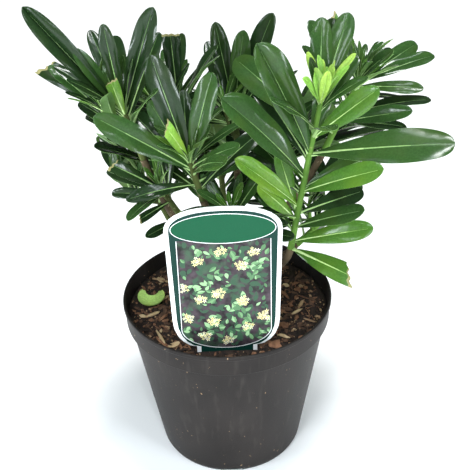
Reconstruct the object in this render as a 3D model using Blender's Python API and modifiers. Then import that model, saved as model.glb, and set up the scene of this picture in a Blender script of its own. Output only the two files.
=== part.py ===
"""Pittosporum shrub in a nursery pot: pot, potting mix, plant label, trunk, boughs and masses of leaves.

Metres, +Z up. The origin is the middle of the pot's flat underside, and -Y is the front.
"""

import math
import random
from collections import namedtuple

import bmesh
import bpy
from mathutils import Matrix, Vector
from mathutils.bvhtree import BVHTree

MM = 0.001
CLEAR = 0.3 * MM
UP = Vector((0, 0, 1))

# Pot
POT_HEIGHT = 110 * MM
RIM_RADIUS = 65 * MM
RIM_BAND = 14 * MM
WALL_TOP_RADIUS = 61.4 * MM
BASE_RADIUS = 46 * MM
WALL = 1.5 * MM
FOOT_WIDTH = 9 * MM
PAD_RADIUS = 14 * MM
RECESS = 2 * MM
FLOOR_TOP = RECESS + WALL
POT_SIDES = 44
DRAIN_HOLES = 8
DRAIN_RADIUS = 4 * MM
FOOT_NOTCHES = 6
NOTCH_WIDTH = 12 * MM

# Potting mix
SOIL_TOP = 101 * MM
SOIL_EDGE_DROP = 1.5 * MM
SOIL_MOUND_RADIUS = 40 * MM

# Label
LABEL_WIDTH = 65 * MM
LABEL_TOP = 199 * MM
LABEL_CORNER = 184 * MM
LABEL_SHOULDER = 124 * MM
LABEL_SHOULDER_WIDTH = 62 * MM
LABEL_NECK_WIDTH = 35.5 * MM
LABEL_NECK_TOP = 104.5 * MM
LABEL_SPIKE_BOTTOM = 66 * MM
LABEL_SPIKE_WIDTH = 16 * MM
LABEL_THICK = 0.8 * MM
LABEL_PLACE = Vector((-1 * MM, -46 * MM, 0))

# Trunk and boughs
TRUNK_FOOT = Vector((4 * MM, 6 * MM, SOIL_TOP + CLEAR))
TRUNK_TOP = Vector((6 * MM, 9 * MM, 143 * MM))
TRUNK_RADIUS = 4.6 * MM
TRUNK_TOP_RADIUS = 3.4 * MM
ROOT_FLARE = 1.7
FORK_LOWEST = 109 * MM
FORK_STEP = 2.5 * MM
BOUGH_RADIUS = 2.3 * MM
BOUGH_TIP_RADIUS = 2.1 * MM
SHOOT_TIP_RADIUS = 1.4 * MM
STEM_BOW = 0.05
TWIG_RADIUS = 1.4 * MM
TWIG_TIP_RADIUS = 1.0 * MM
TWIG_LEAST = 24 * MM
TWIG_ROOM = 9 * MM
TWIG_LEAVES = 6

# Leaves
GOLDEN_ANGLE = 137.5
# Width beside length of a leaf of LEAF_FULL. Shorter leaves are narrower for their length.
LEAF_WIDTH_SHARE = 0.26
LEAF_FULL = 80 * MM
LEAF_NARROWING = 0.2
LEAF_RINGS = (0.0, 0.2, 0.52, 0.84)
LEAF_ROOT_DEPTH = 0.5 * MM
# No leaf's root is higher up its stem than this share, so that it stays sunk in the stem's end.
LEAF_HIGHEST = 0.95
LEAF_THICK_SHARE = 0.012
LEAF_LEAST_THICK = 0.8 * MM
PETIOLE_HALF = 0.8 * MM
LEAF_GAP = 0.8 * MM
LEAF_LIFT = 3 * MM
SEED = 7
# The upper faces of the leaves turn to the light, which comes from above and in front, and those of the
# leads turn further to the front.
LIGHT = Vector((0, -0.62, 0.78))
FRONT = Vector((0, -0.8, 0.6))
# The crown widens upwards from the rim. A leaf of a spiral that would droop below this line is skipped. Its
# height counts with SIGHT_SLOPE for each millimetre that it lies further back.
CROWN_FOOT = Vector((35 * MM, 0, 120 * MM))
CROWN_SLOPE_LEFT = 2.4
CROWN_SLOPE_RIGHT = 1.25
SIGHT_SLOPE = 0.62

# A shoot grows on its bough's tip, from start to apex, both in millimetres. fork is its bough's place in the
# order up the trunk, 0 for the lowest. count and length are those of its spiral of leaves, broad is how wide its
# leaves are beside the usual, and twigs is how many side twigs it has. Its leads are its largest leaves, from the
# lowest up: share of the stem, bearing and rise in degrees, length in millimetres.
Shoot = namedtuple("Shoot", "name fork start apex count length broad twigs leads")
SHOOTS = (
    Shoot("left", 1, (-45, 0, 205), (-54, 0, 236), 6, 60, 0.78, 1, (
        (0.4, 135, 10, 50), (0.8, 65, 40, 56), (0.9, 150, 20, 66), (0.9, -165, 55, 82), (0.9, -100, 55, 42),
        (0.95, -25, 70, 66), (0.95, 120, 45, 52), (1.0, -155, 60, 48), (1.0, -130, 80, 54),
    )),
    Shoot("front_left", 8, (-12, -12, 184), (-18, -20, 213), 5, 52, 0.9, 1, (
        (0.25, 140, 5, 48), (0.45, 50, -5, 42), (0.8, -155, 40, 68), (0.85, -45, 35, 44), (0.9, -170, 75, 68),
        (0.9, -25, 75, 58), (1.0, -135, 60, 38),
    )),
    Shoot("right", 4, (39, -8, 146), (54, -20, 249), 6, 52, 1.1, 0, (
        (0.0, -45, 0, 52), (0.05, -20, 20, 50), (0.15, -35, 30, 50), (0.2, -145, 50, 42), (0.25, 30, 0, 48),
        (0.3, -165, 45, 52), (0.4, 120, 15, 50), (0.4, -35, 30, 56), (0.5, -165, 50, 72),
        (0.65, -150, 65, 78), (0.65, -15, 10, 78), (0.75, -35, 45, 52), (0.8, 130, 20, 68),
        (0.9, 80, 75, 50), (0.9, 65, 65, 50), (0.95, 50, 60, 50),
        (0.95, -125, 50, 28), (0.95, -80, 60, 28), (1.0, -110, 65, 26),
    )),
    Shoot("right_top", 9, (61, 20, 197), (80, 22, 240), 5, 50, 0.95, 1, (
        (0.4, 40, 15, 36), (0.4, -30, 20, 46), (0.9, -20, 5, 38), (0.9, 60, 20, 40), (0.95, 35, 15, 48),
        (0.95, 20, 10, 50), (0.95, -60, 45, 40), (1.0, 130, 55, 46), (1.0, -150, 65, 44),
    )),
    Shoot("back", 11, (9, 30, 184), (9, 45, 212), 6, 58, 0.85, 1, (
        (0.9, 175, 80, 60), (0.95, -55, 80, 56), (1.0, 0, 70, 66),
    )),
    Shoot("back_left", 7, (-19, 30, 190), (-26, 40, 224), 6, 54, 0.85, 1, (
        (0.95, -115, 85, 52), (1.0, 85, 40, 46),
    )),
    Shoot("low_left", 5, (-23, -7, 166), (-36, -12, 193), 4, 44, 0.9, 0, (
        (0.1, -125, 10, 34), (0.6, -130, 0, 30), (0.8, 155, -10, 36), (0.95, -150, 40, 44),
    )),
    Shoot("rear_right", 6, (32, 42, 150), (47, 62, 190), 9, 60, 1.0, 2, ()),
    Shoot("rear", 3, (0, 50, 146), (-4, 74, 184), 9, 60, 1.0, 2, ()),
    Shoot("rear_left", 2, (-34, 34, 142), (-56, 50, 176), 9, 56, 1.0, 2, ()),
    Shoot("low_right", 0, (45, 18, 132), (66, 22, 152), 7, 50, 1.05, 1, ()),
    Shoot("middle", 10, (8, -6, 152), (4, -14, 176), 6, 40, 1.0, 0, ()),
)
BROAD = {shoot.name: shoot.broad for shoot in SHOOTS}

Leaf = namedtuple("Leaf", "shoot share stations thick age")
Station = namedtuple("Station", "centre side normal half")


def remove_everything():
    for obj in list(bpy.data.objects):
        bpy.data.objects.remove(obj, do_unlink=True)


def new_collection(name, shown=True):
    made = bpy.data.collections.new(name)
    bpy.context.scene.collection.children.link(made)
    made.hide_render = not shown
    return made


def principled(name, colour, roughness):
    made = bpy.data.materials.new(name)
    made.use_nodes = True
    shader = made.node_tree.nodes["Principled BSDF"]
    shader.inputs["Base Color"].default_value = (*colour, 1)
    shader.inputs["Roughness"].default_value = roughness
    shader.inputs["Metallic"].default_value = 0
    made.diffuse_color = (*colour, 1)
    return made


def add_object(name, data, collection, material=None):
    obj = bpy.data.objects.new(name, data)
    collection.objects.link(obj)
    if material:
        data.materials.append(material)
    return obj


def mesh_from(name, points, faces):
    mesh = bpy.data.meshes.new(name)
    mesh.from_pydata([tuple(p) for p in points], [], faces)
    mesh.update()
    return mesh


def turned(name, profile, collection, material, sides=POT_SIDES):
    """A profile of (radius, height) points, listed down its outer side, turned about Z."""
    mesh = bpy.data.meshes.new(name)
    edges = [(i, i + 1) for i in range(len(profile) - 1)]
    if profile[0][0] > 0:
        edges.append((len(profile) - 1, 0))
    mesh.from_pydata([(r, 0, z) for r, z in profile], edges, [])
    obj = add_object(name, mesh, collection, material)
    screw = obj.modifiers.new("Turn", "SCREW")
    screw.steps = screw.render_steps = sides
    screw.use_merge_vertices = True
    screw.merge_threshold = 1e-5
    return obj


def cut(obj, cutter):
    cutter.hide_render = True
    cutter.display_type = "WIRE"
    boolean = obj.modifiers.new("Cut " + cutter.name, "BOOLEAN")
    boolean.operation = "DIFFERENCE"
    boolean.object = cutter
    return boolean


def box_mesh(name, size, matrix):
    mesh = bpy.data.meshes.new(name)
    shape = bmesh.new()
    bmesh.ops.create_cube(shape, size=1, matrix=matrix @ Matrix.Diagonal((*size, 1)))
    shape.to_mesh(mesh)
    shape.free()
    return mesh


def cylinder_mesh(name, radius, depth, matrix, sides=12):
    mesh = bpy.data.meshes.new(name)
    shape = bmesh.new()
    bmesh.ops.create_cone(
        shape, cap_ends=True, segments=sides, radius1=radius, radius2=radius, depth=depth, matrix=matrix
    )
    shape.to_mesh(mesh)
    shape.free()
    return mesh


# Pot and potting mix


def inner_radius(z):
    """The pot's inner wall radius at height z, below the band and in it."""
    band_foot = POT_HEIGHT - RIM_BAND
    if z >= band_foot:
        return RIM_RADIUS - 1.2 * MM - WALL + (z - band_foot) / RIM_BAND * 1.2 * MM
    return BASE_RADIUS - WALL + (WALL_TOP_RADIUS - BASE_RADIUS) * z / band_foot


def make_pot(collection, cutters, material):
    band_foot = POT_HEIGHT - RIM_BAND
    edge = 1.5 * MM
    # Down the outside, in along the underside to the axis, and back over the floor and up the inside.
    profile = [
        (RIM_RADIUS - WALL, POT_HEIGHT),
        (RIM_RADIUS, POT_HEIGHT),
        (RIM_RADIUS, POT_HEIGHT - 2.5 * MM),
        (RIM_RADIUS - 0.8 * MM, POT_HEIGHT - 3 * MM),
        (RIM_RADIUS - 1.2 * MM, band_foot),
        (WALL_TOP_RADIUS, band_foot - edge),
        (BASE_RADIUS, 3 * MM),
        (BASE_RADIUS - edge, 0),
        (BASE_RADIUS - FOOT_WIDTH, 0),
        (BASE_RADIUS - FOOT_WIDTH - edge, RECESS),
        (PAD_RADIUS + edge, RECESS),
        (PAD_RADIUS, 0),
        (0, 0),
        (0, FLOOR_TOP),
        (BASE_RADIUS - 3 * MM, FLOOR_TOP),
        (inner_radius(FLOOR_TOP + 3 * MM), FLOOR_TOP + 3 * MM),
        (inner_radius(band_foot - edge), band_foot - edge),
        (inner_radius(band_foot), band_foot),
    ]
    pot = turned("pot", profile, collection, material)
    ring = (BASE_RADIUS - FOOT_WIDTH + PAD_RADIUS) / 2
    for k in range(DRAIN_HOLES):
        turn = Matrix.Rotation(math.tau * (k + 0.5) / DRAIN_HOLES, 4, "Z")
        place = turn @ Matrix.Translation((ring, 0, FLOOR_TOP / 2))
        hole = cylinder_mesh(f"drain_hole_{k + 1}", DRAIN_RADIUS, 4 * FLOOR_TOP, place)
        cut(pot, add_object(hole.name, hole, cutters))
    for k in range(FOOT_NOTCHES):
        turn = Matrix.Rotation(math.tau * k / FOOT_NOTCHES - math.pi / 2, 4, "Z")
        place = turn @ Matrix.Translation((BASE_RADIUS - FOOT_WIDTH / 2, 0, 0))
        size = (2 * FOOT_WIDTH, NOTCH_WIDTH, 2 * RECESS - 0.4 * MM)
        notch = box_mesh(f"foot_notch_{k + 1}", size, place)
        cut(pot, add_object(notch.name, notch, cutters))
    return pot


def make_soil(collection, cutters, material):
    band_foot = POT_HEIGHT - RIM_BAND
    step = band_foot - 1.5 * MM
    gap = 1.5 * CLEAR
    rim = SOIL_TOP - SOIL_EDGE_DROP
    profile = [
        (0, SOIL_TOP),
        (SOIL_MOUND_RADIUS, SOIL_TOP),
        (inner_radius(rim) - gap, rim),
        (inner_radius(band_foot) - gap, band_foot + gap),
        (inner_radius(step) - gap, step + gap),
        (inner_radius(FLOOR_TOP + 3 * MM) - gap, FLOOR_TOP + 3 * MM + gap),
        (BASE_RADIUS - 3 * MM - gap, FLOOR_TOP + gap),
        (0, FLOOR_TOP + gap),
    ]
    soil = turned("potting_mix", profile, collection, material)
    slot = add_object("label_slot", label_mesh("label_slot", 2 * CLEAR), cutters)
    slot.location = LABEL_PLACE
    cut(soil, slot)
    return soil


# Label


def label_outline(grow=0.0):
    """The label's outline in X and Z, anticlockwise from the spike's tip, grown outwards by grow."""
    half = LABEL_WIDTH / 2 + grow
    low = LABEL_SHOULDER_WIDTH / 2 + grow
    neck = LABEL_NECK_WIDTH / 2 + grow
    spike = LABEL_SPIKE_WIDTH / 2 + grow
    side = [
        (spike, LABEL_SPIKE_BOTTOM - grow),
        (neck - 2 * MM, SOIL_TOP - 12 * MM),
        (neck, SOIL_TOP - 4 * MM),
        (neck, LABEL_NECK_TOP),
    ]
    shoulder_steps, top_steps = 5, 9
    for k in range(1, shoulder_steps + 1):
        turn = math.pi / 2 * k / shoulder_steps
        rise = LABEL_SHOULDER - LABEL_NECK_TOP
        side.append((neck + (low - neck) * math.sin(turn), LABEL_NECK_TOP + rise * (1 - math.cos(turn))))
    for k in range(top_steps):
        turn = math.pi / 2 * k / top_steps
        rise = LABEL_TOP - LABEL_CORNER + grow
        # A power under 1 squares the ellipse's corners a little, as the label's top has them.
        side.append((half * math.cos(turn) ** 0.8, LABEL_CORNER + rise * math.sin(turn) ** 0.9))
    left = [(-x, z) for x, z in reversed(side)]
    return side + [(0, LABEL_TOP + grow)] + left


def label_mesh(name, grow):
    """The outline as a flat plate on edge, LABEL_THICK thick and grown by grow on every side."""
    curve = bpy.data.curves.new(name, "CURVE")
    curve.dimensions = "2D"
    curve.fill_mode = "BOTH"
    curve.extrude = LABEL_THICK / 2 + grow
    outline = label_outline(grow)
    spline = curve.splines.new("POLY")
    spline.points.add(len(outline) - 1)
    for point, (x, z) in zip(spline.points, outline):
        point.co = (x, z, 0, 1)
    spline.use_cyclic_u = True
    flat = bpy.data.objects.new(name, curve)
    bpy.context.scene.collection.objects.link(flat)
    mesh = welded_mesh(flat)
    mesh.transform(Matrix.Rotation(math.pi / 2, 4, "X"))
    return mesh


def welded_mesh(obj):
    """The mesh that a curve object makes, with its caps welded on. The curve is removed."""
    graph = bpy.context.evaluated_depsgraph_get()
    graph.update()
    mesh = bpy.data.meshes.new_from_object(obj.evaluated_get(graph))
    shape = bmesh.new()
    shape.from_mesh(mesh)
    bmesh.ops.remove_doubles(shape, verts=shape.verts, dist=1e-6)
    bmesh.ops.recalc_face_normals(shape, faces=shape.faces)
    shape.to_mesh(mesh)
    shape.free()
    mesh.shade_smooth()
    mesh.set_sharp_from_angle(angle=math.radians(50))
    mesh.name = obj.name
    bpy.data.objects.remove(obj, do_unlink=True)
    return mesh


# Limbs


def bend_points(start, knee, end, steps):
    """Points on the curve from start to end that leaves start towards knee."""
    made = []
    for k in range(steps + 1):
        t = k / steps
        made.append(start * (1 - t) ** 2 + knee * 2 * t * (1 - t) + end * t * t)
    return made


def trunk_at(height):
    share = (height - TRUNK_FOOT.z) / (TRUNK_TOP.z - TRUNK_FOOT.z)
    return TRUNK_FOOT.lerp(TRUNK_TOP, share)


def bough_points(shoot, steps=6):
    """From the trunk's middle out, and then up to the shoot's start in the shoot's own direction."""
    root = trunk_at(FORK_LOWEST + shoot.fork * FORK_STEP)
    tip = Vector(shoot.start) * MM
    heading = (Vector(shoot.apex) * MM - tip).normalized()
    knee = tip - heading * (tip - root).length * 0.5
    return bend_points(root, knee, tip, steps)


def stem_points(shoot, steps=6):
    """On from the bough's tip to the apex, with a slight bow."""
    tip, apex = Vector(shoot.start) * MM, Vector(shoot.apex) * MM
    heading = (apex - tip).normalized()
    start = tip + heading * CLEAR
    knee = start.lerp(apex, 0.5) + heading.cross(UP) * (apex - start).length * STEM_BOW
    return bend_points(start, knee, apex, steps)


def twig_lines(shoot, dice, limbs):
    """Side twigs, each from a share of the stem outwards and up, that keep clear of the other limbs."""
    stem = stem_points(shoot)
    length = (stem[-1] - stem[0]).length
    first = dice.uniform(0, 360)
    made = []
    for k in range(shoot.twigs):
        root, axis = along(stem, 0.2 + 0.55 * (k + 0.5) / shoot.twigs)
        reach = max(length * 0.62, TWIG_LEAST)
        for attempt in range(12):
            across = axis.orthogonal().normalized()
            across = Matrix.Rotation(math.radians(first + k * GOLDEN_ANGLE + attempt * 30), 3, axis) @ across
            knee = root + (across + axis * 0.45).normalized() * reach * 0.5
            line = bend_points(root, knee, knee + (axis + UP + across * 0.5).normalized() * reach * 0.6, 3)
            others = [other for name, other, _ in limbs if name != shoot.name]
            if all(distance_to_line(place, other) > TWIG_ROOM for place in line[1:] for other in others):
                made.append(line)
                break
    return made


def along(points, share):
    """The point at a share of a line's length, and the line's direction there."""
    place = min(max(share, 0.0), 1.0) * (len(points) - 1)
    k = min(int(place), len(points) - 2)
    return points[k].lerp(points[k + 1], place - k), (points[k + 1] - points[k]).normalized()


def limb_mesh(name, points, radii, resolution=1):
    """A round tapering limb with flat ends."""
    curve = bpy.data.curves.new(name, "CURVE")
    curve.dimensions = "3D"
    curve.bevel_depth = 1
    curve.bevel_resolution = resolution
    curve.use_fill_caps = True
    spline = curve.splines.new("POLY")
    spline.points.add(len(points) - 1)
    for point, place, radius in zip(spline.points, points, radii):
        point.co = (*place, 1)
        point.radius = radius
    obj = bpy.data.objects.new(name, curve)
    bpy.context.scene.collection.objects.link(obj)
    return welded_mesh(obj)


def tapered(count, first, last):
    return [first + (last - first) * k / (count - 1) for k in range(count)]


def trunk_mesh(name, grow=0.0):
    """The trunk from its flat foot on the mix, with its root flare, grown outwards by grow."""
    knee = TRUNK_FOOT.lerp(TRUNK_TOP, 0.5) + Vector((1 * MM, -1 * MM, 0))
    points = bend_points(TRUNK_FOOT, knee, TRUNK_TOP, 8)
    points[1] = Vector((TRUNK_FOOT.x, TRUNK_FOOT.y, points[1].z))
    radii = [r + grow for r in tapered(len(points), TRUNK_RADIUS, TRUNK_TOP_RADIUS)]
    radii[0] *= ROOT_FLARE
    radii[1] *= 1 + (ROOT_FLARE - 1) * 0.25
    if grow:
        points[-1] = points[-1] + UP * grow
    return limb_mesh(name, points, radii, resolution=4)


# Layout of the leaves


def leaf_half_width(share, width):
    """Half the width of a spoon-shaped blade, widest at seven tenths of its length."""
    blade = 1.61 * share**0.8 * math.sqrt(1 - share**3.2)
    return max(blade * width / 2, PETIOLE_HALF * (1 - 0.35 * share))


def leaf_stations(root, heading, axis, length, width, bend, twist):
    """Sections along a blade that starts along heading, faces axis and arches back by bend degrees."""
    normal = (axis - heading * axis.dot(heading)).normalized()
    normal = Matrix.Rotation(math.radians(twist), 3, heading) @ normal
    made = []
    place = root + heading * (SHOOT_TIP_RADIUS - LEAF_ROOT_DEPTH)
    last = 0.0
    for share in LEAF_RINGS + (1.0,):
        turn = math.radians(bend) * (0.45 - (share + last) / 2)
        forward = heading * math.cos(turn) + normal * math.sin(turn)
        place = place + forward * (share - last) * length
        facing = normal * math.cos(turn) - heading * math.sin(turn)
        made.append(Station(place, forward.cross(facing), facing, leaf_half_width(share, width)))
        last = share
    return made


def leaf_shell(stations, thick, grow=0.0):
    """Points and faces of a blade with a four-sided section, its edges raised a little above its midrib."""
    points, faces = [], []
    for s in stations[:-1]:
        half = s.half + grow
        up = thick / 2 + grow
        edge = s.normal * s.half * 0.22
        points += [s.centre - s.side * half + edge, s.centre + s.normal * up]
        points += [s.centre + s.side * half + edge, s.centre - s.normal * up]
    for k in range(len(stations) - 2):
        for i in range(4):
            a, b = 4 * k + i, 4 * k + (i + 1) % 4
            faces.append((a, b, b + 4, a + 4))
    tip = len(points)
    points.append(stations[-1].centre)
    last = 4 * (len(stations) - 2)
    faces += [(last + i, last + (i + 1) % 4, tip) for i in range(4)]
    faces.append((3, 2, 1, 0))
    return points, faces


def limb_lines():
    """Each limb as its owner's name, its points and its radius, for keeping leaves off it."""
    lines = [("trunk", [TRUNK_FOOT, TRUNK_TOP], TRUNK_RADIUS)]
    for shoot in SHOOTS:
        lines.append(("bough_" + shoot.name, bough_points(shoot), BOUGH_RADIUS))
        lines.append((shoot.name, stem_points(shoot), BOUGH_TIP_RADIUS))
    dice = random.Random(SEED)
    for shoot in SHOOTS:
        lines += [(shoot.name, line, TWIG_RADIUS) for line in twig_lines(shoot, dice, lines)]
    return lines


def distance_to_line(point, line):
    best = 1.0
    for a, b in zip(line, line[1:]):
        way = b - a
        share = min(max((point - a).dot(way) / way.length_squared, 0.0), 1.0)
        best = min(best, (point - a - way * share).length)
    return best


def tube_shell(line, radius, sides=6):
    """Points and faces of a tube round a line."""
    along_line = line[-1] - line[0]
    aside = min((Vector((1, 0, 0)), Vector((0, 1, 0)), UP), key=lambda axis: abs(axis.dot(along_line)))
    points, faces = [], []
    for k, place in enumerate(line):
        way = (line[min(k + 1, len(line) - 1)] - line[max(k - 1, 0)]).normalized()
        u = way.cross(aside).normalized()
        v = way.cross(u)
        for i in range(sides):
            turn = math.tau * i / sides
            points.append(place + (u * math.cos(turn) + v * math.sin(turn)) * radius)
    for k in range(len(line) - 1):
        for i in range(sides):
            a, b = k * sides + i, k * sides + (i + 1) % sides
            faces.append((a, b, b + sides, a + sides))
    faces.append(tuple(range(sides)))
    faces.append(tuple(range((len(line) - 1) * sides, len(line) * sides)))
    return points, faces


def obstacles(limbs):
    """What leaves keep off, as an owner's name and a search tree each: the limbs, the pot and the label."""
    made = []
    for name, line, radius in limbs:
        made.append((name, BVHTree.FromPolygons(*tube_shell(line, radius * 1.15 + LEAF_GAP))))
    block = [Vector((0, 0, 0)), UP * (POT_HEIGHT + LEAF_LIFT)]
    made.append(("pot", BVHTree.FromPolygons(*tube_shell(block, RIM_RADIUS + 3 * MM, 24))))
    face = [(x, z) for x, z in label_outline(1.5 * MM) if z > SOIL_TOP]
    front = [LABEL_PLACE + Vector((x, -2 * MM, z)) for x, z in face]
    back = [LABEL_PLACE + Vector((x, 2 * MM, z)) for x, z in face]
    rim = [(i, (i + 1) % len(face), (i + 1) % len(face) + len(face), i + len(face)) for i in range(len(face))]
    ends = [tuple(range(len(face))), tuple(range(len(face), 2 * len(face)))]
    made.append(("label", BVHTree.FromPolygons(front + back, rim + ends)))
    return made


def inside_crown(stations):
    """Whether a blade keeps above the crown's lower outline."""
    for s in stations[1:]:
        slope = CROWN_SLOPE_LEFT if s.centre.x < 0 else CROWN_SLOPE_RIGHT
        lowest = CROWN_FOOT.z + slope * max(abs(s.centre.x) - CROWN_FOOT.x, 0)
        if s.centre.z + SIGHT_SLOPE * s.centre.y < lowest:
            return False
    return True


def clear_of_things(stations, thick, owner, things):
    whole = BVHTree.FromPolygons(*leaf_shell(stations, thick))
    blade = BVHTree.FromPolygons(*leaf_shell(stations[1:], thick))
    outer = BVHTree.FromPolygons(*leaf_shell(stations[2:], thick))
    for name, tree in things:
        part = outer if name == owner else blade if name == "bough_" + owner else whole
        if part.overlap(tree):
            return False
    return True


def clear_of_leaves(stations, thick, owner, trees):
    whole = BVHTree.FromPolygons(*leaf_shell(stations, thick, LEAF_GAP))
    outer = BVHTree.FromPolygons(*leaf_shell(stations[2:], thick))
    for name, tree, outer_tree in trees:
        if name == owner:
            if outer.overlap(outer_tree):
                return False
        elif whole.overlap(tree):
            return False
    return True


def fitted_leaf(owner, line, share, heading, length, age, dice, things, trees, bend, keen):
    """A leaf at a share of a line, in the first direction near heading that keeps clear, or None."""
    root, axis = along(line, min(share, LEAF_HIGHEST))
    facing = (axis * 0.3 + FRONT if keen else axis + LIGHT * 0.8).normalized()
    narrowing = (length / LEAF_FULL) ** LEAF_NARROWING
    width = length * LEAF_WIDTH_SHARE * narrowing * BROAD[owner] * dice.uniform(0.92, 1.08)
    twist = dice.uniform(-14, 14)
    thick = max(LEAF_LEAST_THICK, length * LEAF_THICK_SHARE)
    turns = (0, 7, -7, 14, -14, 21, -21, 28, -28) if keen else (0, 12, -12, 24, -24, 36, -36)
    for shrink in (1.0, 0.86):
        for lift in (0, 8, -8, 16, -16):
            for turn in turns:
                side = heading.cross(facing).normalized()
                way = Matrix.Rotation(math.radians(lift), 3, side) @ heading
                way = Matrix.Rotation(math.radians(turn), 3, facing) @ way
                stations = leaf_stations(root, way, facing, length * shrink, width * shrink, bend, twist)
                if not keen and not inside_crown(stations):
                    continue
                if not clear_of_things(stations, thick, owner, things):
                    continue
                if clear_of_leaves(stations, thick, owner, trees):
                    return Leaf(owner, share, stations, thick, age)
    return None


def keep(leaf, leaves, trees):
    leaves.append(leaf)
    whole = BVHTree.FromPolygons(*leaf_shell(leaf.stations, leaf.thick))
    outer = BVHTree.FromPolygons(*leaf_shell(leaf.stations[2:], leaf.thick))
    trees.append((leaf.shoot, whole, outer))


def lead_leaves(shoot, dice, things, leaves, trees):
    for share, bearing, rise, length in shoot.leads:
        b, r = math.radians(bearing), math.radians(rise)
        heading = Vector((math.cos(b) * math.cos(r), math.sin(b) * math.cos(r), math.sin(r)))
        line, bend = stem_points(shoot), dice.uniform(10, 24)
        leaf = fitted_leaf(
            shoot.name, line, share, heading, length * MM, 1 - share, dice, things, trees, bend, True
        )
        if leaf:
            keep(leaf, leaves, trees)


def spiral_leaves(owner, line, count, length, lowest, dice, things, leaves, trees):
    """Leaves round a line by the golden angle, crowded and steeper towards its tip."""
    first = dice.uniform(0, 360)
    for k in range(count):
        u = (k + 0.5) / count
        share = lowest + (1 - lowest) * (1 - (1 - u) ** 1.5)
        _, axis = along(line, share)
        across = axis.orthogonal().normalized()
        across = Matrix.Rotation(math.radians(first + k * GOLDEN_ANGLE), 3, axis) @ across
        opening = math.radians(78 - 58 * u**1.2 + dice.uniform(-7, 7))
        heading = (axis * math.cos(opening) + across * math.sin(opening)).normalized()
        size = length * MM * (0.85 + 0.25 * math.sin(math.pi * min(1.3 * u, 1))) * (1 - 0.5 * u**4)
        bend = dice.uniform(14, 34)
        leaf = fitted_leaf(owner, line, share, heading, size, 1 - u, dice, things, trees, bend, False)
        if leaf:
            keep(leaf, leaves, trees)


def all_leaves():
    """Every leaf of the shrub, leads first. A later leaf that would touch is turned or skipped."""
    dice = random.Random(SEED)
    limbs = limb_lines()
    things = obstacles(limbs)
    leaves, trees = [], []
    for shoot in SHOOTS:
        lead_leaves(shoot, dice, things, leaves, trees)
    for shoot in SHOOTS:
        line = stem_points(shoot)
        spiral_leaves(shoot.name, line, shoot.count, shoot.length, 0.12, dice, things, leaves, trees)
    for shoot in SHOOTS:
        for line in twigs_of(shoot, limbs):
            length = shoot.length * 0.85
            spiral_leaves(shoot.name, line, TWIG_LEAVES, length, 0.35, dice, things, leaves, trees)
    return leaves


def twigs_of(shoot, limbs):
    return [line for name, line, radius in limbs if name == shoot.name and radius == TWIG_RADIUS]


# Solids of the plant


def make_trunk(collection, material):
    return add_object("trunk", trunk_mesh("trunk"), collection, material)


def bough_mesh(name, shoot, grow=0.0):
    points = bough_points(shoot)
    return limb_mesh(name, points, [r + grow for r in tapered(len(points), BOUGH_RADIUS, BOUGH_TIP_RADIUS)])


def near(first, second):
    """Whether two boughs come so close outside the trunk that one has to make room."""
    reach = 2 * BOUGH_RADIUS + 2 * CLEAR
    return any(
        distance_to_line(point, bough_points(second)) < reach
        for point in bough_points(first, 24)
        if (point - trunk_at(point.z)).length > TRUNK_TOP_RADIUS - BOUGH_RADIUS
    )


def make_boughs(collection, cutters, material):
    """One tapering limb to each shoot, cut to sit on the trunk and beside the boughs made before it."""
    socket = add_object("trunk_socket", trunk_mesh("trunk_socket", 1.3 * CLEAR), cutters)
    for k, shoot in enumerate(SHOOTS):
        name = "bough_" + shoot.name
        bough = add_object(name, bough_mesh(name, shoot), collection, material)
        settle(bough, cut(bough, socket))
        for other in SHOOTS[:k]:
            if near(shoot, other):
                beside = f"{name}_beside_{other.name}"
                room = add_object(beside, bough_mesh(beside, other, 1.5 * CLEAR), cutters)
                settle(bough, cut(bough, room))


def modified_mesh(obj):
    graph = bpy.context.evaluated_depsgraph_get()
    graph.update()
    return bpy.data.meshes.new_from_object(obj.evaluated_get(graph))


def largest_piece(mesh, weld):
    """Drops loose scraps and the shells of sealed hollows, and tells whether the rest is closed."""
    shape = bmesh.new()
    shape.from_mesh(mesh)
    if weld:
        bmesh.ops.remove_doubles(shape, verts=shape.verts, dist=weld)
        bmesh.ops.dissolve_degenerate(shape, edges=shape.edges, dist=weld)
    bmesh.ops.triangulate(shape, faces=shape.faces)
    shape.faces.index_update()
    unseen = set(shape.faces)
    pieces = []
    while unseen:
        piece, front = [], [unseen.pop()]
        while front:
            face = front.pop()
            piece.append(face)
            joined = [edge for edge in face.edges if len(edge.link_faces) == 2]
            beside = {other for edge in joined for other in edge.link_faces} & unseen
            unseen -= beside
            front += sorted(beside, key=lambda other: other.index)
        pieces.append(piece)
    pieces.sort(key=len)
    for piece in pieces[:-1]:
        bmesh.ops.delete(shape, geom=piece, context="FACES")
    closed = all(len(edge.link_faces) in (0, 2, 4) for edge in shape.edges)
    shape.to_mesh(mesh)
    shape.free()
    return closed


def settle(obj, boolean):
    """Applies an object's Boolean, with the exact solver unless that leaves a hole."""
    for solver, weld in (("EXACT", 2e-6), ("EXACT", 0), ("MANIFOLD", 0)):
        boolean.solver = solver
        mesh = modified_mesh(obj)
        if largest_piece(mesh, weld):
            break
    obj.modifiers.clear()
    obj.data = mesh
    mesh.name = obj.name


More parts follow.
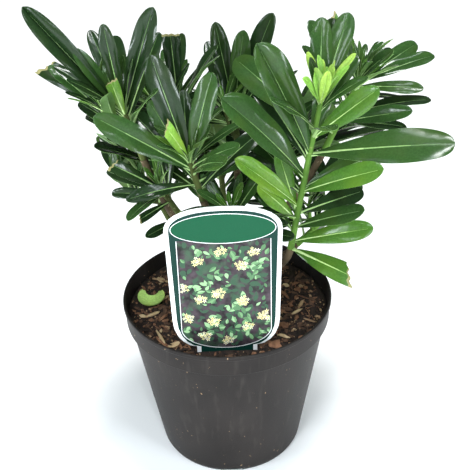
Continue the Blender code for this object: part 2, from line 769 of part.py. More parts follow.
def make_mass(shoot, leaves, collection, material):
    """The stem of a shoot with its leaves fused on."""
    points = stem_points(shoot)
    radii = tapered(len(points), BOUGH_TIP_RADIUS, SHOOT_TIP_RADIUS)
    name = "leaves_" + shoot.name
    mass = add_object(name, limb_mesh(name, points, radii), collection, material)
    parts = new_collection("parts of " + name, shown=False)
    for k, line in enumerate(twigs_of(shoot, limb_lines())):
        twig = f"{name}_twig_{k + 1}"
        radii = tapered(len(line), TWIG_RADIUS, TWIG_TIP_RADIUS)
        add_object(twig, limb_mesh(twig, line, radii), parts)
    for k, leaf in enumerate(leaves):
        part = f"{name}_{k + 1}"
        add_object(part, mesh_from(part, *leaf_shell(leaf.stations, leaf.thick)), parts)
    union = mass.modifiers.new("Fuse the leaves", "BOOLEAN")
    union.operation = "UNION"
    union.operand_type = "COLLECTION"
    union.collection = parts
    settle(mass, union)
    for part in list(parts.objects):
        bpy.data.objects.remove(part, do_unlink=True)
    bpy.data.collections.remove(parts)
    return mass


def main():
    remove_everything()
    plant = new_collection("Pittosporum shrub")
    cutters = new_collection("Cutters", shown=False)
    bark = principled("bark", (0.20, 0.15, 0.09), 0.85)
    leaf = principled("leaf", (0.035, 0.14, 0.03), 0.35)
    black_plastic = principled("black_plastic", (0.035, 0.035, 0.037), 0.5)
    mix = principled("potting_mix", (0.06, 0.035, 0.02), 0.95)
    card = principled("label_plastic", (0.03, 0.16, 0.10), 0.4)

    make_pot(plant, cutters, black_plastic)
    make_soil(plant, cutters, mix)
    label = add_object("label", label_mesh("label", 0.0), plant, card)
    label.location = LABEL_PLACE
    make_trunk(plant, bark)
    make_boughs(plant, cutters, bark)
    leaves = all_leaves()
    for shoot in SHOOTS:
        make_mass(shoot, [x for x in leaves if x.shoot == shoot.name], plant, leaf)
    print(f"{len(leaves)} leaves")


if __name__ == "__main__":
    main()
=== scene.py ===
"""The looks of a potted pittosporum shrub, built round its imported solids.

Metres, +Z up. The origin is the middle of the pot's underside, and -Y is the front.
"""

import math
import random
from collections import namedtuple

import bmesh
import bpy
from mathutils import Matrix, Vector, noise
from mathutils.bvhtree import BVHTree


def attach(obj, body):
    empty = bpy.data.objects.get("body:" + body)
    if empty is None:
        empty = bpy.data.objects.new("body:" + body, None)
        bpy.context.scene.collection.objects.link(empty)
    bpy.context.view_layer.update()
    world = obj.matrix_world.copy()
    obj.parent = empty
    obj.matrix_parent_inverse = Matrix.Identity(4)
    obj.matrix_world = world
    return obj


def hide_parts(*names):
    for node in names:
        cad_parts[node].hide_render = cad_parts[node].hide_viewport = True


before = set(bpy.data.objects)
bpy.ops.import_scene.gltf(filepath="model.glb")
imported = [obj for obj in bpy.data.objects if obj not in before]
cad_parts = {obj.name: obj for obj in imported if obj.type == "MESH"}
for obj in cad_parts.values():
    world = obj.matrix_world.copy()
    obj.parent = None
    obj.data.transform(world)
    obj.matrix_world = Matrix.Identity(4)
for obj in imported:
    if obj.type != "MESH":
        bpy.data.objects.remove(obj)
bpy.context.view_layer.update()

MM = 0.001
# The usual gap between neighbouring solids.
CLEAR = 0.3 * MM
UP = Vector((0, 0, 1))

# Pot
POT_HEIGHT = 110 * MM
RIM_RADIUS = 65 * MM
RIM_BAND = 14 * MM
BAND_TAPER = 1.2 * MM
WALL_TOP_RADIUS = 61.4 * MM
BASE_RADIUS = 46 * MM
WALL = 1.5 * MM
FOOT_WIDTH = 9 * MM
PAD_RADIUS = 14 * MM
RECESS = 2 * MM
FLOOR_TOP = RECESS + WALL
POT_SIDES = 176
DRAIN_HOLES = 8
DRAIN_RADIUS = 4 * MM
FOOT_NOTCHES = 6
NOTCH_WIDTH = 12 * MM

# Potting mix
SOIL_TOP = 101 * MM
SOIL_EDGE_DROP = 1.5 * MM
SOIL_MOUND_RADIUS = 40 * MM
SOIL_RELIEF = 1.3 * MM
CHIP_COUNT = 850
# How far up a draw from 0 to 1 each shade of mix goes, from dark to pale.
CHIP_SHARES = (0.38, 0.68, 0.9, 0.97, 1.0)
# One chip in so many is broader and lies on top.
FLAKE_EVERY = 40
CRUMB_COUNT = 2600
FIBRE_COUNT = 70
# Splinters on the mix: x and y, bearing and length, in millimetres and degrees.
SPLINTERS = ((-41, -32, 114, 14), (43, -12, 40, 9), (33, -36, -20, 8))
SCRAP_PLACE = Vector((-48 * MM, 9 * MM, 0))

# Label
LABEL_WIDTH = 65 * MM
LABEL_TOP = 199 * MM
LABEL_CORNER = 184 * MM
LABEL_SHOULDER = 124 * MM
LABEL_SHOULDER_WIDTH = 62 * MM
LABEL_NECK_WIDTH = 35.5 * MM
LABEL_NECK_TOP = 104.5 * MM
LABEL_SPIKE_BOTTOM = 66 * MM
LABEL_SPIKE_WIDTH = 16 * MM
LABEL_THICK = 0.8 * MM
LABEL_PLACE = Vector((-1 * MM, -46 * MM, 0))
LABEL_BORDER = 2.5 * MM
PRINT_LAYER = 0.04 * MM
HEADER_CENTRE = 185.2 * MM
HEADER_HALF = (29 * MM, 9.6 * MM)
WINDOW_HALF = 26.2 * MM
WINDOW_TOP = 178 * MM
# Here the picture's straight sides end, and its foot begins to curve.
WINDOW_SIDE_END = 117 * MM
WINDOW_BOTTOM = 103 * MM
LINE_WIDTH = 0.38 * MM
BLOSSOM_HEADS = 14
PRINTED_LEAVES = 620
PRINT_IOR = 1.25
LEAF_INKS = (
    ("print_leaf_1", (0.085, 0.18, 0.085)),
    ("print_leaf_2", (0.15, 0.29, 0.135)),
    ("print_leaf_3", (0.27, 0.44, 0.23)),
    ("print_leaf_4", (0.035, 0.08, 0.047)),
)
PETAL_INKS = (
    ("print_petal_1", (0.8, 0.74, 0.4)),
    ("print_petal_2", (0.87, 0.85, 0.64)),
    ("print_heart", (0.52, 0.36, 0.07)),
)

# Trunk and boughs
TRUNK_FOOT = Vector((4 * MM, 6 * MM, SOIL_TOP + CLEAR))
TRUNK_TOP = Vector((6 * MM, 9 * MM, 143 * MM))
TRUNK_RADIUS = 4.6 * MM
TRUNK_TOP_RADIUS = 3.4 * MM
# How many times wider the trunk is at its foot.
ROOT_FLARE = 1.7
FORK_LOWEST = 109 * MM
FORK_STEP = 2.5 * MM
BOUGH_RADIUS = 2.3 * MM
BOUGH_TIP_RADIUS = 2.1 * MM
SHOOT_TIP_RADIUS = 1.4 * MM
# How far aside the knee of a stem lies, as a share of its length.
STEM_BOW = 0.05
TWIG_RADIUS = 1.4 * MM
TWIG_TIP_RADIUS = 1.0 * MM
# The least reach of a twig, and what it keeps off every limb but its own stem and its twigs.
TWIG_LEAST = 24 * MM
TWIG_ROOM = 9 * MM
TWIG_LEAVES = 6
# From one scar of a lost leaf to the next along the bark.
SCAR_STEP = 5.5 * MM

# Leaves
GOLDEN_ANGLE = 137.5
# Width beside length of a leaf of LEAF_FULL. Shorter leaves are narrower for their length.
LEAF_WIDTH_SHARE = 0.26
LEAF_FULL = 80 * MM
LEAF_NARROWING = 0.2
# The shares of its length where a leaf of the solids has a section.
LEAF_RINGS = (0.0, 0.2, 0.52, 0.84, 1.0)
LEAF_ROOT_DEPTH = 0.5 * MM
# No leaf starts further up a stem than this share of it.
LEAF_HIGHEST = 0.95
LEAF_THICK_SHARE = 0.012
LEAF_LEAST_THICK = 0.8 * MM
PETIOLE_HALF = 0.8 * MM
# What leaves keep off limbs and other masses, and off the pot's rim.
LEAF_GAP = 0.8 * MM
LEAF_LIFT = 3 * MM
SEED = 7
# Leads face the front, and other leaves turn to the light.
LIGHT = Vector((0, -0.62, 0.78))
FRONT = Vector((0, -0.8, 0.6))
# The crown's lower outline as seen from the front: flat to this distance from the middle, then rising.
CROWN_FOOT = Vector((35 * MM, 0, 120 * MM))
CROWN_SLOPE_LEFT = 2.4
CROWN_SLOPE_RIGHT = 1.25
# How much higher a leaf looks for each metre that it is further back.
SIGHT_SLOPE = 0.62
LEAF_IOR = 1.33
# Rows along a blade and columns across half of it.
BLADE_GRID = (34, 6)
SMALL_GRID = (18, 4)
BLADE_THICK = 0.42 * MM
VEIN_PAIRS = 8
VEIN_DEPTH = 0.08 * MM
RIB_HALF = 1.2 * MM
# The share of a blade that is left where its tip is torn off.
CUT_SHARE = 0.74
# Below this length a leaf gets a coarser blade.
SMALL_LEAF = 30 * MM
# No filling leaf points further to the front than this.
FILL_FRONT = -0.6
# From these values of a shoot's fresh up its stem is green, and its bud has many pale leaves.
GREEN_STEM = 0.3
FRESH_SHOOT = 0.5
# Leaves round a bud: how many, the longest one in millimetres, opening in degrees, width beside the
# usual, and looks.
YOUNG_FRESH = (18, 31, 28, 0.72, ("y2", "l3", "y3"))
YOUNG_RIPE = (6, 25, 44, 0.95, ("g2", "m2"))
# Leads that only the looks have, low on the front stem: shoot, leads and looks.
MORE_LEADS = (("right", ((0.12, 160, 50, 42), (0.24, 175, 75, 42)), "g1 m1"),)

# A shoot grows on its bough's tip, from start to apex, both in millimetres. fork is its bough's place
# in the order up the trunk, 0 for the lowest. count and length are those of its spiral of leaves, broad
# is how wide its leaves are beside the usual, and twigs is how many side twigs it has. Its leads are its
# largest leaves, from the lowest up: share of the stem, bearing and rise in degrees, length in
# millimetres. looks has a letter of TONES for each lead, from dark to young, a capital where the tip is
# torn off, and then how steeply the blade is folded, in tens of degrees. fresh is how green the shoot's
# other leaves are, from 0 to 1.
TONES = "dgmbly"
Shoot = namedtuple("Shoot", "name fork start apex count length broad twigs leads looks fresh")
SHOOTS = (
    Shoot("left", 1, (-45, 0, 205), (-54, 0, 236), 6, 60, 0.78, 1, (
        (0.4, 135, 10, 50), (0.8, 65, 40, 56), (0.9, 150, 20, 66), (0.9, -165, 55, 82), (0.9, -100, 55, 42),
        (0.95, -25, 70, 66), (0.95, 120, 45, 52), (1.0, -155, 60, 48), (1.0, -130, 80, 54),
    ), "d2 d2 D3 d6 B1 d3 d2 g3 d2", 0.1),
    Shoot("front_left", 8, (-12, -12, 184), (-18, -20, 213), 5, 52, 0.9, 1, (
        (0.25, 140, 5, 48), (0.45, 50, -5, 42), (0.8, -155, 40, 68), (0.85, -45, 35, 44), (0.9, -170, 75, 68),
        (0.9, -25, 75, 58), (1.0, -135, 60, 38),
    ), "d2 g1 g2 g1 d3 g2 L1", 0.2),
    Shoot("right", 4, (39, -8, 146), (54, -20, 249), 6, 52, 1.1, 0, (
        (0.0, -45, 0, 52), (0.05, -20, 20, 50), (0.15, -35, 30, 50), (0.2, -145, 50, 42), (0.25, 30, 0, 48),
        (0.3, -165, 45, 52), (0.4, 120, 15, 50), (0.4, -35, 30, 56), (0.5, -165, 50, 72),
        (0.65, -150, 65, 78), (0.65, -15, 10, 78), (0.75, -35, 45, 52), (0.8, 130, 20, 68),
        (0.9, 80, 75, 50), (0.9, 65, 65, 50), (0.95, 50, 60, 50),
        (0.95, -125, 50, 28), (0.95, -80, 60, 28), (1.0, -110, 65, 26),
    ), "M0 m2 g1 b1 d1 b5 g2 m2 g4 g5 g1 m2 g2 g2 d3 g2 l4 y4 l3", 0.5),
    Shoot("right_top", 9, (61, 20, 197), (80, 22, 240), 5, 50, 0.95, 1, (
        (0.4, 40, 15, 36), (0.4, -30, 20, 46), (0.9, -20, 5, 38), (0.9, 60, 20, 40), (0.95, 35, 15, 48),
        (0.95, 20, 10, 50), (0.95, -60, 45, 40), (1.0, 130, 55, 46), (1.0, -150, 65, 44),
    ), "d2 g3 g3 g2 g3 g3 g3 M2 g2", 0.3),
    Shoot("back", 11, (9, 30, 184), (9, 45, 212), 6, 58, 0.85, 1, (
        (0.9, 175, 80, 60), (0.95, -55, 80, 56), (1.0, 0, 70, 66),
    ), "d4 g2 d3", 0.1),
    Shoot("back_left", 7, (-19, 30, 190), (-26, 40, 224), 6, 54, 0.85, 1, (
        (0.95, -115, 85, 52), (1.0, 85, 40, 46),
    ), "D2 d2", 0.1),
    Shoot("low_left", 5, (-23, -7, 166), (-36, -12, 193), 4, 44, 0.9, 0, (
        (0.1, -125, 10, 34), (0.6, -130, 0, 30), (0.8, 155, -10, 36), (0.95, -150, 40, 44),
    ), "d2 D1 d3 D1", 0.0),
    Shoot("rear_right", 6, (32, 42, 150), (47, 62, 190), 9, 60, 1.0, 2, (), "", 0.2),
    Shoot("rear", 3, (0, 50, 146), (-4, 74, 184), 9, 60, 1.0, 2, (), "", 0.2),
    Shoot("rear_left", 2, (-34, 34, 142), (-56, 50, 176), 9, 56, 1.0, 2, (), "", 0.2),
    Shoot("low_right", 0, (45, 18, 132), (66, 22, 152), 7, 50, 1.05, 1, (), "", 0.3),
    Shoot("middle", 10, (8, -6, 152), (4, -14, 176), 6, 40, 1.0, 0, (), "", 0.2),
)
BROAD = {shoot.name: shoot.broad for shoot in SHOOTS}

# shape holds what leaf_stations takes.
Leaf = namedtuple("Leaf", "shoot stations thick age shape look")
# What leaves keep off, the leaves so far, and search trees of those leaves.
Crown = namedtuple("Crown", "things leaves trees")
Station = namedtuple("Station", "centre side normal half")


# Outlines shared with the solids


def inner_radius(z):
    """The pot's inner wall radius at height z, below the band and in it."""
    band_foot = POT_HEIGHT - RIM_BAND
    if z >= band_foot:
        return RIM_RADIUS - BAND_TAPER - WALL + (z - band_foot) / RIM_BAND * BAND_TAPER
    return BASE_RADIUS - WALL + (WALL_TOP_RADIUS - BASE_RADIUS) * z / band_foot


def label_outline(grow=0.0):
    """The label's outline in X and Z, anticlockwise from the spike's tip, grown outwards by grow."""
    half, low, neck, spike = (
        width / 2 + grow for width in (LABEL_WIDTH, LABEL_SHOULDER_WIDTH, LABEL_NECK_WIDTH, LABEL_SPIKE_WIDTH)
    )
    side = [
        (spike, LABEL_SPIKE_BOTTOM - grow),
        (neck - 2 * MM, SOIL_TOP - 12 * MM),
        (neck, SOIL_TOP - 4 * MM),
        (neck, LABEL_NECK_TOP),
    ]
    shoulder_steps, top_steps = 5, 9
    for k in range(1, shoulder_steps + 1):
        turn = math.pi / 2 * k / shoulder_steps
        rise = LABEL_SHOULDER - LABEL_NECK_TOP
        side.append((neck + (low - neck) * math.sin(turn), LABEL_NECK_TOP + rise * (1 - math.cos(turn))))
    for k in range(top_steps):
        turn = math.pi / 2 * k / top_steps
        rise = LABEL_TOP - LABEL_CORNER + grow
        # A power under 1 squares the ellipse's corners a little, as the label's top has them.
        side.append((half * math.cos(turn) ** 0.8, LABEL_CORNER + rise * math.sin(turn) ** 0.9))
    return side + [(0, LABEL_TOP + grow)] + [(-x, z) for x, z in reversed(side)]


# Making meshes


def add_object(name, data, materials=()):
    for material in materials:
        data.materials.append(material)
    obj = bpy.data.objects.new(name, data)
    bpy.context.scene.collection.objects.link(obj)
    return obj


def show(name, mesh, materials, node):
    """Adds a piece in the given materials that rides on the part's one body and stands for a node, whose
    solid it hides.
    """
    obj = add_object(name, mesh, materials)
    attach(obj, "root")
    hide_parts(node)


def smooth(mesh, sharp):
    """Smooth shading, but for edges that turn by more than sharp degrees."""
    mesh.shade_smooth()
    mesh.set_sharp_from_angle(angle=math.radians(sharp))


def ready_mesh(name, make, **values):
    """A mesh made by one of the ready operators, such as a cube's."""
    mesh = bpy.data.meshes.new(name)
    shape = bmesh.new()
    make(shape, **values)
    shape.to_mesh(mesh)
    shape.free()
    return mesh


def worked_out(obj):
    """An object's mesh with its modifiers or its curve worked out."""
    graph = bpy.context.evaluated_depsgraph_get()
    graph.update()
    return bpy.data.meshes.new_from_object(obj.evaluated_get(graph))


class Builder:
    """Gathers points and faces of many small shapes for one mesh."""

    def __init__(self):
        self.points, self.faces, self.slots = [], [], []

    def add(self, points, faces, slot=0):
        """Adds faces with one material slot, or with a list of theirs."""
        base = len(self.points)
        self.points += [tuple(p) for p in points]
        self.faces += [tuple(base + i for i in face) for face in faces]
        self.slots += [slot] * len(faces) if isinstance(slot, int) else slot

    def show(self, name, materials, node, sharp=50):
        """Shows what was gathered as one piece."""
        mesh = bpy.data.meshes.new(name)
        mesh.from_pydata(self.points, [], self.faces)
        mesh.polygons.foreach_set("material_index", self.slots)
        mesh.update()
        smooth(mesh, sharp)
        show(name, mesh, materials, node)


def polar(radius, turn):
    return radius * math.cos(turn), radius * math.sin(turn)


def wall_faces(rings, sides):
    """Quads between closed rings of points that are listed one after another."""
    faces = []
    for k in range(rings - 1):
        for i in range(sides):
            a, b = k * sides + i, k * sides + (i + 1) % sides
            faces.append((a, b, b + sides, a + sides))
    return faces


def sheet_faces(rows, wide):
    """Quads of a sheet's upper grid of points, and of its under grid, which is listed after it."""
    count = (rows + 1) * wide
    upper = []
    for k in range(rows):
        upper += [(a, a + 1, a + wide + 1, a + wide) for a in range(k * wide, (k + 1) * wide - 1)]
    under = [(count + a, count + d, count + c, count + b) for a, b, c, d in upper]
    return upper, under


def smooth_radii(count, first, last, collar=0.0, reach=0.06):
    """Tapering radii with a collar that widens the root."""
    made = []
    for k in range(count):
        t = k / (count - 1)
        made.append((first + (last - first) * t) * (1 + collar * math.exp(-t / reach)))
    return made


def bend_points(start, knee, end, steps):
    """Points on the curve from start to end that leaves start towards knee."""
    made = []
    for k in range(steps + 1):
        t = k / steps
        made.append(start * (1 - t) ** 2 + knee * 2 * t * (1 - t) + end * t * t)
    return made


def ring_points(line, radii, sides, relief=None):
    """Rings of points round a line, whose frame is carried along without twist."""
    way = (line[1] - line[0]).normalized()
    u = way.orthogonal().normalized()
    rings = []
    length = 0.0
    for k, centre in enumerate(line):
        ahead, behind = line[min(k + 1, len(line) - 1)], line[max(k - 1, 0)]
        way = (ahead - behind).normalized()
        u = (u - way * u.dot(way)).normalized()
        v = way.cross(u)
        if k:
            length += (centre - line[k - 1]).length
        ring = []
        for i in range(sides):
            turn = math.tau * i / sides
            radius = radii[k] + (relief(length, turn) if relief else 0)
            ring.append(centre + (u * math.cos(turn) + v * math.sin(turn)) * radius)
        rings.append(ring)
    return rings


def tube(builder, rings, slot=0):
    """A closed skin over rings of points, with a cap at each end."""
    sides = len(rings[0])
    faces = wall_faces(len(rings), sides)
    faces.append(tuple(reversed(range(sides))))
    faces.append(tuple(range((len(rings) - 1) * sides, len(rings) * sides)))
    builder.add([p for ring in rings for p in ring], faces, slot)


# Materials


def feed(tree, socket, value):
    """Gives an input a plain value or another node's output."""
    if isinstance(value, bpy.types.NodeSocket):
        tree.links.new(value, socket)
    else:
        socket.default_value = value


def add_node(tree, kind, inputs):
    made = tree.nodes.new("ShaderNode" + kind)
    for name, value in inputs.items():
        feed(tree, made.inputs[name], value)
    return made


def map_range(tree, value, start, end, low, high):
    """Spreads the stretch of a value from start to end over low to high."""
    inputs = {"Value": value, "From Min": start, "From Max": end, "To Min": low, "To Max": high}
    return add_node(tree, "MapRange", inputs).outputs["Result"]


class Paint:
    """A Principled material whose patterns lie in the object's own space."""

    def __init__(self, name, roughness, ior=1.45):
        self.material = bpy.data.materials.new(name)
        self.material.use_nodes = True
        self.tree = self.material.node_tree
        self.inputs = self.tree.nodes["Principled BSDF"].inputs
        self.inputs["Roughness"].default_value = roughness
        self.inputs["IOR"].default_value = ior
        self.where = add_node(self.tree, "TexCoord", {}).outputs["Object"]

    def noise(self, scale, detail, stretch=None):
        """Noise with scale lumps a metre. A stretch under 1 makes them longer along that axis."""
        where = self.where
        if stretch:
            where = add_node(self.tree, "Mapping", {"Vector": where, "Scale": stretch}).outputs["Vector"]
        inputs = {"Vector": where, "Scale": scale, "Detail": detail}
        return add_node(self.tree, "TexNoise", inputs).outputs["Fac"]

    def ramp(self, factor, *stops):
        """A colour ramp between two stops, each a position and a colour."""
        made = add_node(self.tree, "ValToRGB", {"Fac": factor})
        for element, (position, colour) in zip(made.color_ramp.elements, stops):
            element.position = position
            element.color = (*colour, 1)
        return made.outputs["Color"]

    def shades(self, factor, colour, dark, light, start=0.3, end=0.7):
        """A ramp from a darker to a lighter shade of one colour."""
        low, high = (tuple(c * shade for c in colour) for shade in (dark, light))
        return self.ramp(factor, (start, low), (end, high))

    def mixed(self, ground, colour, factor):
        """The ground with a plain colour over it by the factor."""
        made = add_node(self.tree, "Mix", {})
        made.data_type = "RGBA"
        below, above = [socket for socket in made.inputs if socket.type == "RGBA"]
        feed(self.tree, below, ground)
        feed(self.tree, above, (*colour, 1))
        feed(self.tree, made.inputs["Factor"], factor)
        return next(socket for socket in made.outputs if socket.type == "RGBA")

    def spotted(self, ground, colour, cells, start, end, strength=1.0):
        """The ground with a plain colour that sets in where the noise passes from start to end."""
        return self.mixed(ground, colour, self.ramp(cells, (start, (0, 0, 0)), (end, (strength,) * 3)))

    def polish(self, factor, glossy, dull):
        """Lets the roughness vary with the factor."""
        feed(self.tree, self.inputs["Roughness"], map_range(self.tree, factor, 0, 1, glossy, dull))

    def done(self, colour, *bumps):
        """The material with its colour and its bumps, each a height, a strength and a distance in mm."""
        feed(self.tree, self.inputs["Base Color"], colour)
        for height, strength, distance in bumps:
            inputs = {"Height": height, "Strength": strength, "Distance": distance * MM}
            made = add_node(self.tree, "Bump", inputs)
            if self.inputs["Normal"].links:
                feed(self.tree, made.inputs["Normal"], self.inputs["Normal"].links[0].from_socket)
            feed(self.tree, self.inputs["Normal"], made.outputs["Normal"])
        return self.material


def leaf_material(name, colour, roughness):
    """A waxy blade: fine mottling between two near greens, and a slight unevenness of its polish."""
    paint = Paint(name, roughness, LEAF_IOR)
    cells = paint.noise(900, 3)
    clouds = paint.noise(60, 2)
    fine = paint.shades(cells, colour, 0.8, 1.2)
    red, green, blue = colour
    warm = (red * 1.45, green * 1.1, blue * 0.75)
    colours = paint.mixed(fine, warm, map_range(paint.tree, clouds, 0.45, 0.75, 0, 0.7))
    paint.polish(clouds, roughness * 0.75, roughness * 1.3)
    return paint.done(colours, (cells, 0.04, 0.4))


def vein_material(name, colour):
    """A rib, a margin or a tear: fine streaks of one pale colour."""
    paint = Paint(name, 0.42, 1.35)
    streaks = paint.noise(500, 3)
    return paint.done(paint.shades(streaks, colour, 0.82, 1.12), (streaks, 0.15, 0.3))


def bark_material(name, dark, light, spot):
    """Rough bark: long fissures, pale pores and a mottled ground."""
    paint = Paint(name, 0.82, 1.25)
    ground = paint.noise(140, 6, (1, 1, 0.35))
    grain = paint.noise(900, 5, (1, 1, 0.3))
    pores = paint.noise(480, 2)
    colours = paint.ramp(ground, (0.32, dark), (0.68, light))
    colours = paint.spotted(colours, spot, pores, 0.66, 0.72)
    return paint.done(colours, (ground, 0.5, 0.8), (grain, 0.5, 0.5))


def pot_material():
    """Matt black plastic with fine scuffs, flow marks and dried splashes of mix."""
    paint = Paint("moulded_plastic", 0.5, 1.22)
    base, pale, dust = (0.0112, 0.0094, 0.0087), (0.062, 0.054, 0.047), (0.26, 0.17, 0.1)
    clouds = paint.noise(30, 3)
    colours = paint.shades(clouds, base, 1, 2.2, 0.3, 0.75)
    colours = paint.spotted(colours, pale, paint.noise(260, 6, (1, 1, 0.12)), 0.56, 0.8, 0.35)
    colours = paint.spotted(colours, dust, paint.noise(420, 2), 0.72, 0.76)
    paint.polish(clouds, 0.4, 0.62)
    return paint.done(colours, (paint.noise(1500, 2), 0.18, 0.3))


def crumb_material(name, dark, light):
    """A piece of composted bark: fibrous, dull and uneven in colour."""
    paint = Paint(name, 0.95)
    fibres = paint.noise(420, 6, (1, 0.4, 1))
    return paint.done(paint.ramp(fibres, (0.3, dark), (0.7, light)), (fibres, 0.7, 0.6))


def printed_material(name, colour, roughness=0.32):
    """Print on plastic card: even ink with the faint grain of its screen."""
    paint = Paint(name, roughness, PRINT_IOR)
    grain = paint.noise(2200, 2)
    clouds = paint.noise(40, 2)
    ink = paint.shades(grain, colour, 0.93, 1.07, 0.25, 0.75)
    paint.polish(clouds, roughness * 0.8, roughness * 1.25)
    return paint.done(ink, (grain, 0.04, 0.1))


def picture_ground_material():
    """The printed picture's ground: dusky earth with blurred greens."""
    paint = Paint("printed_ground", 0.32, PRINT_IOR)
    dusk, earth, green = (0.014, 0.011, 0.013), (0.07, 0.052, 0.062), (0.045, 0.1, 0.055)
    colours = paint.ramp(paint.noise(170, 3), (0.35, dusk), (0.65, earth))
    return paint.done(paint.spotted(colours, green, paint.noise(110, 3), 0.52, 0.66, 0.8))


# Pot


def turned(name, profile):
    """A closed profile of (radius, height) points turned about Z."""
    count = len(profile)
    mesh = bpy.data.meshes.new(name)
    mesh.from_pydata([(r, 0, z) for r, z in profile], [(i, (i + 1) % count) for i in range(count)], [])
    obj = add_object(name, mesh)
    screw = obj.modifiers.new("Turn", "SCREW")
    screw.steps = screw.render_steps = POT_SIDES
    screw.use_merge_vertices = True
    screw.merge_threshold = 1e-5
    return obj


def cut(obj, mesh):
    cutter = add_object(mesh.name, mesh)
    boolean = obj.modifiers.new("Cut " + cutter.name, "BOOLEAN")
    boolean.operation = "DIFFERENCE"
    boolean.object = cutter
    return cutter


def rounded_profile(profile, radius, steps=3):
    """The profile with its corners off the axis rounded."""
    made = []
    count = len(profile)
    for k, corner in enumerate(profile):
        before, after = Vector(profile[k - 1]), Vector(profile[(k + 1) % count])
        here = Vector(corner)
        reach = min(radius, (before - here).length * 0.4, (after - here).length * 0.4)
        if here.x < 1e-6 or reach < 0.05 * MM:
            made.append(corner)
            continue
        start, end = (here + (there - here).normalized() * reach for there in (before, after))
        made += bend_points(start, here, end, steps)
    return made


def make_pot(plastic):
    band_foot = POT_HEIGHT - RIM_BAND
    edge = 1.5 * MM
    profile = [
        (RIM_RADIUS - WALL, POT_HEIGHT),
        (RIM_RADIUS, POT_HEIGHT),
        (RIM_RADIUS, POT_HEIGHT - 2.5 * MM),
        (RIM_RADIUS - 0.8 * MM, POT_HEIGHT - 3 * MM),
        (RIM_RADIUS - BAND_TAPER, band_foot),
        (WALL_TOP_RADIUS, band_foot - edge),
        (BASE_RADIUS, 3 * MM),
        (BASE_RADIUS - edge, 0),
        (BASE_RADIUS - FOOT_WIDTH, 0),
        (BASE_RADIUS - FOOT_WIDTH - edge, RECESS),
        (PAD_RADIUS + edge, RECESS),
        (PAD_RADIUS, 0),
        (0, 0),
        (0, FLOOR_TOP),
        (BASE_RADIUS - 3 * MM, FLOOR_TOP),
    ]
    for height in (FLOOR_TOP + 3 * MM, band_foot - edge, band_foot):
        profile.append((inner_radius(height), height))
    pot = turned("pot_shell", rounded_profile(profile, 0.6 * MM))
    ring = (BASE_RADIUS - FOOT_WIDTH + PAD_RADIUS) / 2
    drill = {"radius1": DRAIN_RADIUS, "radius2": DRAIN_RADIUS, "depth": 4 * FLOOR_TOP}
    block = Matrix.Diagonal((2 * FOOT_WIDTH, NOTCH_WIDTH, 2 * RECESS - 0.4 * MM, 1))
    cutters = []
    for k in range(DRAIN_HOLES):
        turn = Matrix.Rotation(math.tau * (k + 0.5) / DRAIN_HOLES, 4, "Z")
        spot = turn @ Matrix.Translation((ring, 0, FLOOR_TOP / 2))
        hole = ready_mesh(
            f"drain_hole_{k + 1}", bmesh.ops.create_cone, cap_ends=True, segments=32, matrix=spot, **drill
        )
        cutters.append(cut(pot, hole))
    for k in range(FOOT_NOTCHES):
        turn = Matrix.Rotation(math.tau * k / FOOT_NOTCHES - math.pi / 2, 4, "Z")
        spot = turn @ Matrix.Translation((BASE_RADIUS - FOOT_WIDTH / 2, 0, 0))
        notch = ready_mesh(f"foot_notch_{k + 1}", bmesh.ops.create_cube, size=1, matrix=spot @ block)
        cutters.append(cut(pot, notch))
    mesh = worked_out(pot)
    for spent in (pot, *cutters):
        bpy.data.objects.remove(spent, do_unlink=True)
    smooth(mesh, 35)
    show("pot_shell", mesh, [plastic], "pot")


# Potting mix


def soil_height(x, y):
    """The mix's surface: a low mound with lumps, lower at the wall."""
    r = math.hypot(x, y)
    rim = inner_radius(SOIL_TOP) - CLEAR
    fall = max(r - SOIL_MOUND_RADIUS, 0) / (rim - SOIL_MOUND_RADIUS)
    lumps = noise.noise(Vector((x, y, 0)) * 95) * 0.6 + noise.noise(Vector((x, y, 3)) * 260) * 0.4
    return SOIL_TOP - SOIL_EDGE_DROP * fall + SOIL_RELIEF * lumps - 0.3 * MM


def make_soil(mix):
    """The bed under the chips: a fine skin on a plug that fills the pot."""
    rings, sides = 44, 150
    rim = inner_radius(SOIL_TOP) - 1.5 * CLEAR
    foot = FLOOR_TOP + 1.5 * CLEAR
    turns = [math.tau * i / sides for i in range(sides)]
    points = [(0, 0, soil_height(0, 0))]
    for k in range(1, rings + 1):
        for turn in turns:
            x, y = polar(rim * k / rings, turn)
            points.append((x, y, soil_height(x, y)))
    points += [(*polar(BASE_RADIUS - 3 * MM - 1.5 * CLEAR, turn), foot) for turn in turns]
    points.append((0, 0, foot))
    pairs = [(i, (i + 1) % sides) for i in range(sides)]
    faces = [(0, 1 + i, 1 + j) for i, j in pairs]
    for k in range(rings):
        a, b = 1 + k * sides, 1 + (k + 1) * sides
        faces += [(a + i, b + i, b + j, a + j) for i, j in pairs]
    last = 1 + rings * sides
    faces += [(last + i, len(points) - 1, last + j) for i, j in pairs]
    builder = Builder()
    builder.add(points, faces)
    builder.show("mix_bed", [mix], "potting_mix", 180)


def chip_shape(dice, length, width, thick):
    """A broken flake of bark: an uneven slab with six to eight corners."""
    corners = dice.randint(6, 8)
    rim = []
    for k in range(corners):
        turn = math.tau * (k + dice.uniform(-0.25, 0.25)) / corners
        reach = dice.uniform(0.75, 1.1)
        rim.append((math.cos(turn) * length / 2 * reach, math.sin(turn) * width / 2 * reach))
    points = []
    for level, size in ((-0.5, 0.8), (0.1, 1.0), (0.5, 0.72)):
        for x, y in rim:
            points.append(Vector((x * size, y * size, thick * (level + dice.uniform(-0.12, 0.12)))))
    ends = [tuple(reversed(range(corners))), tuple(range(2 * corners, 3 * corners))]
    return points, ends + wall_faces(3, corners)


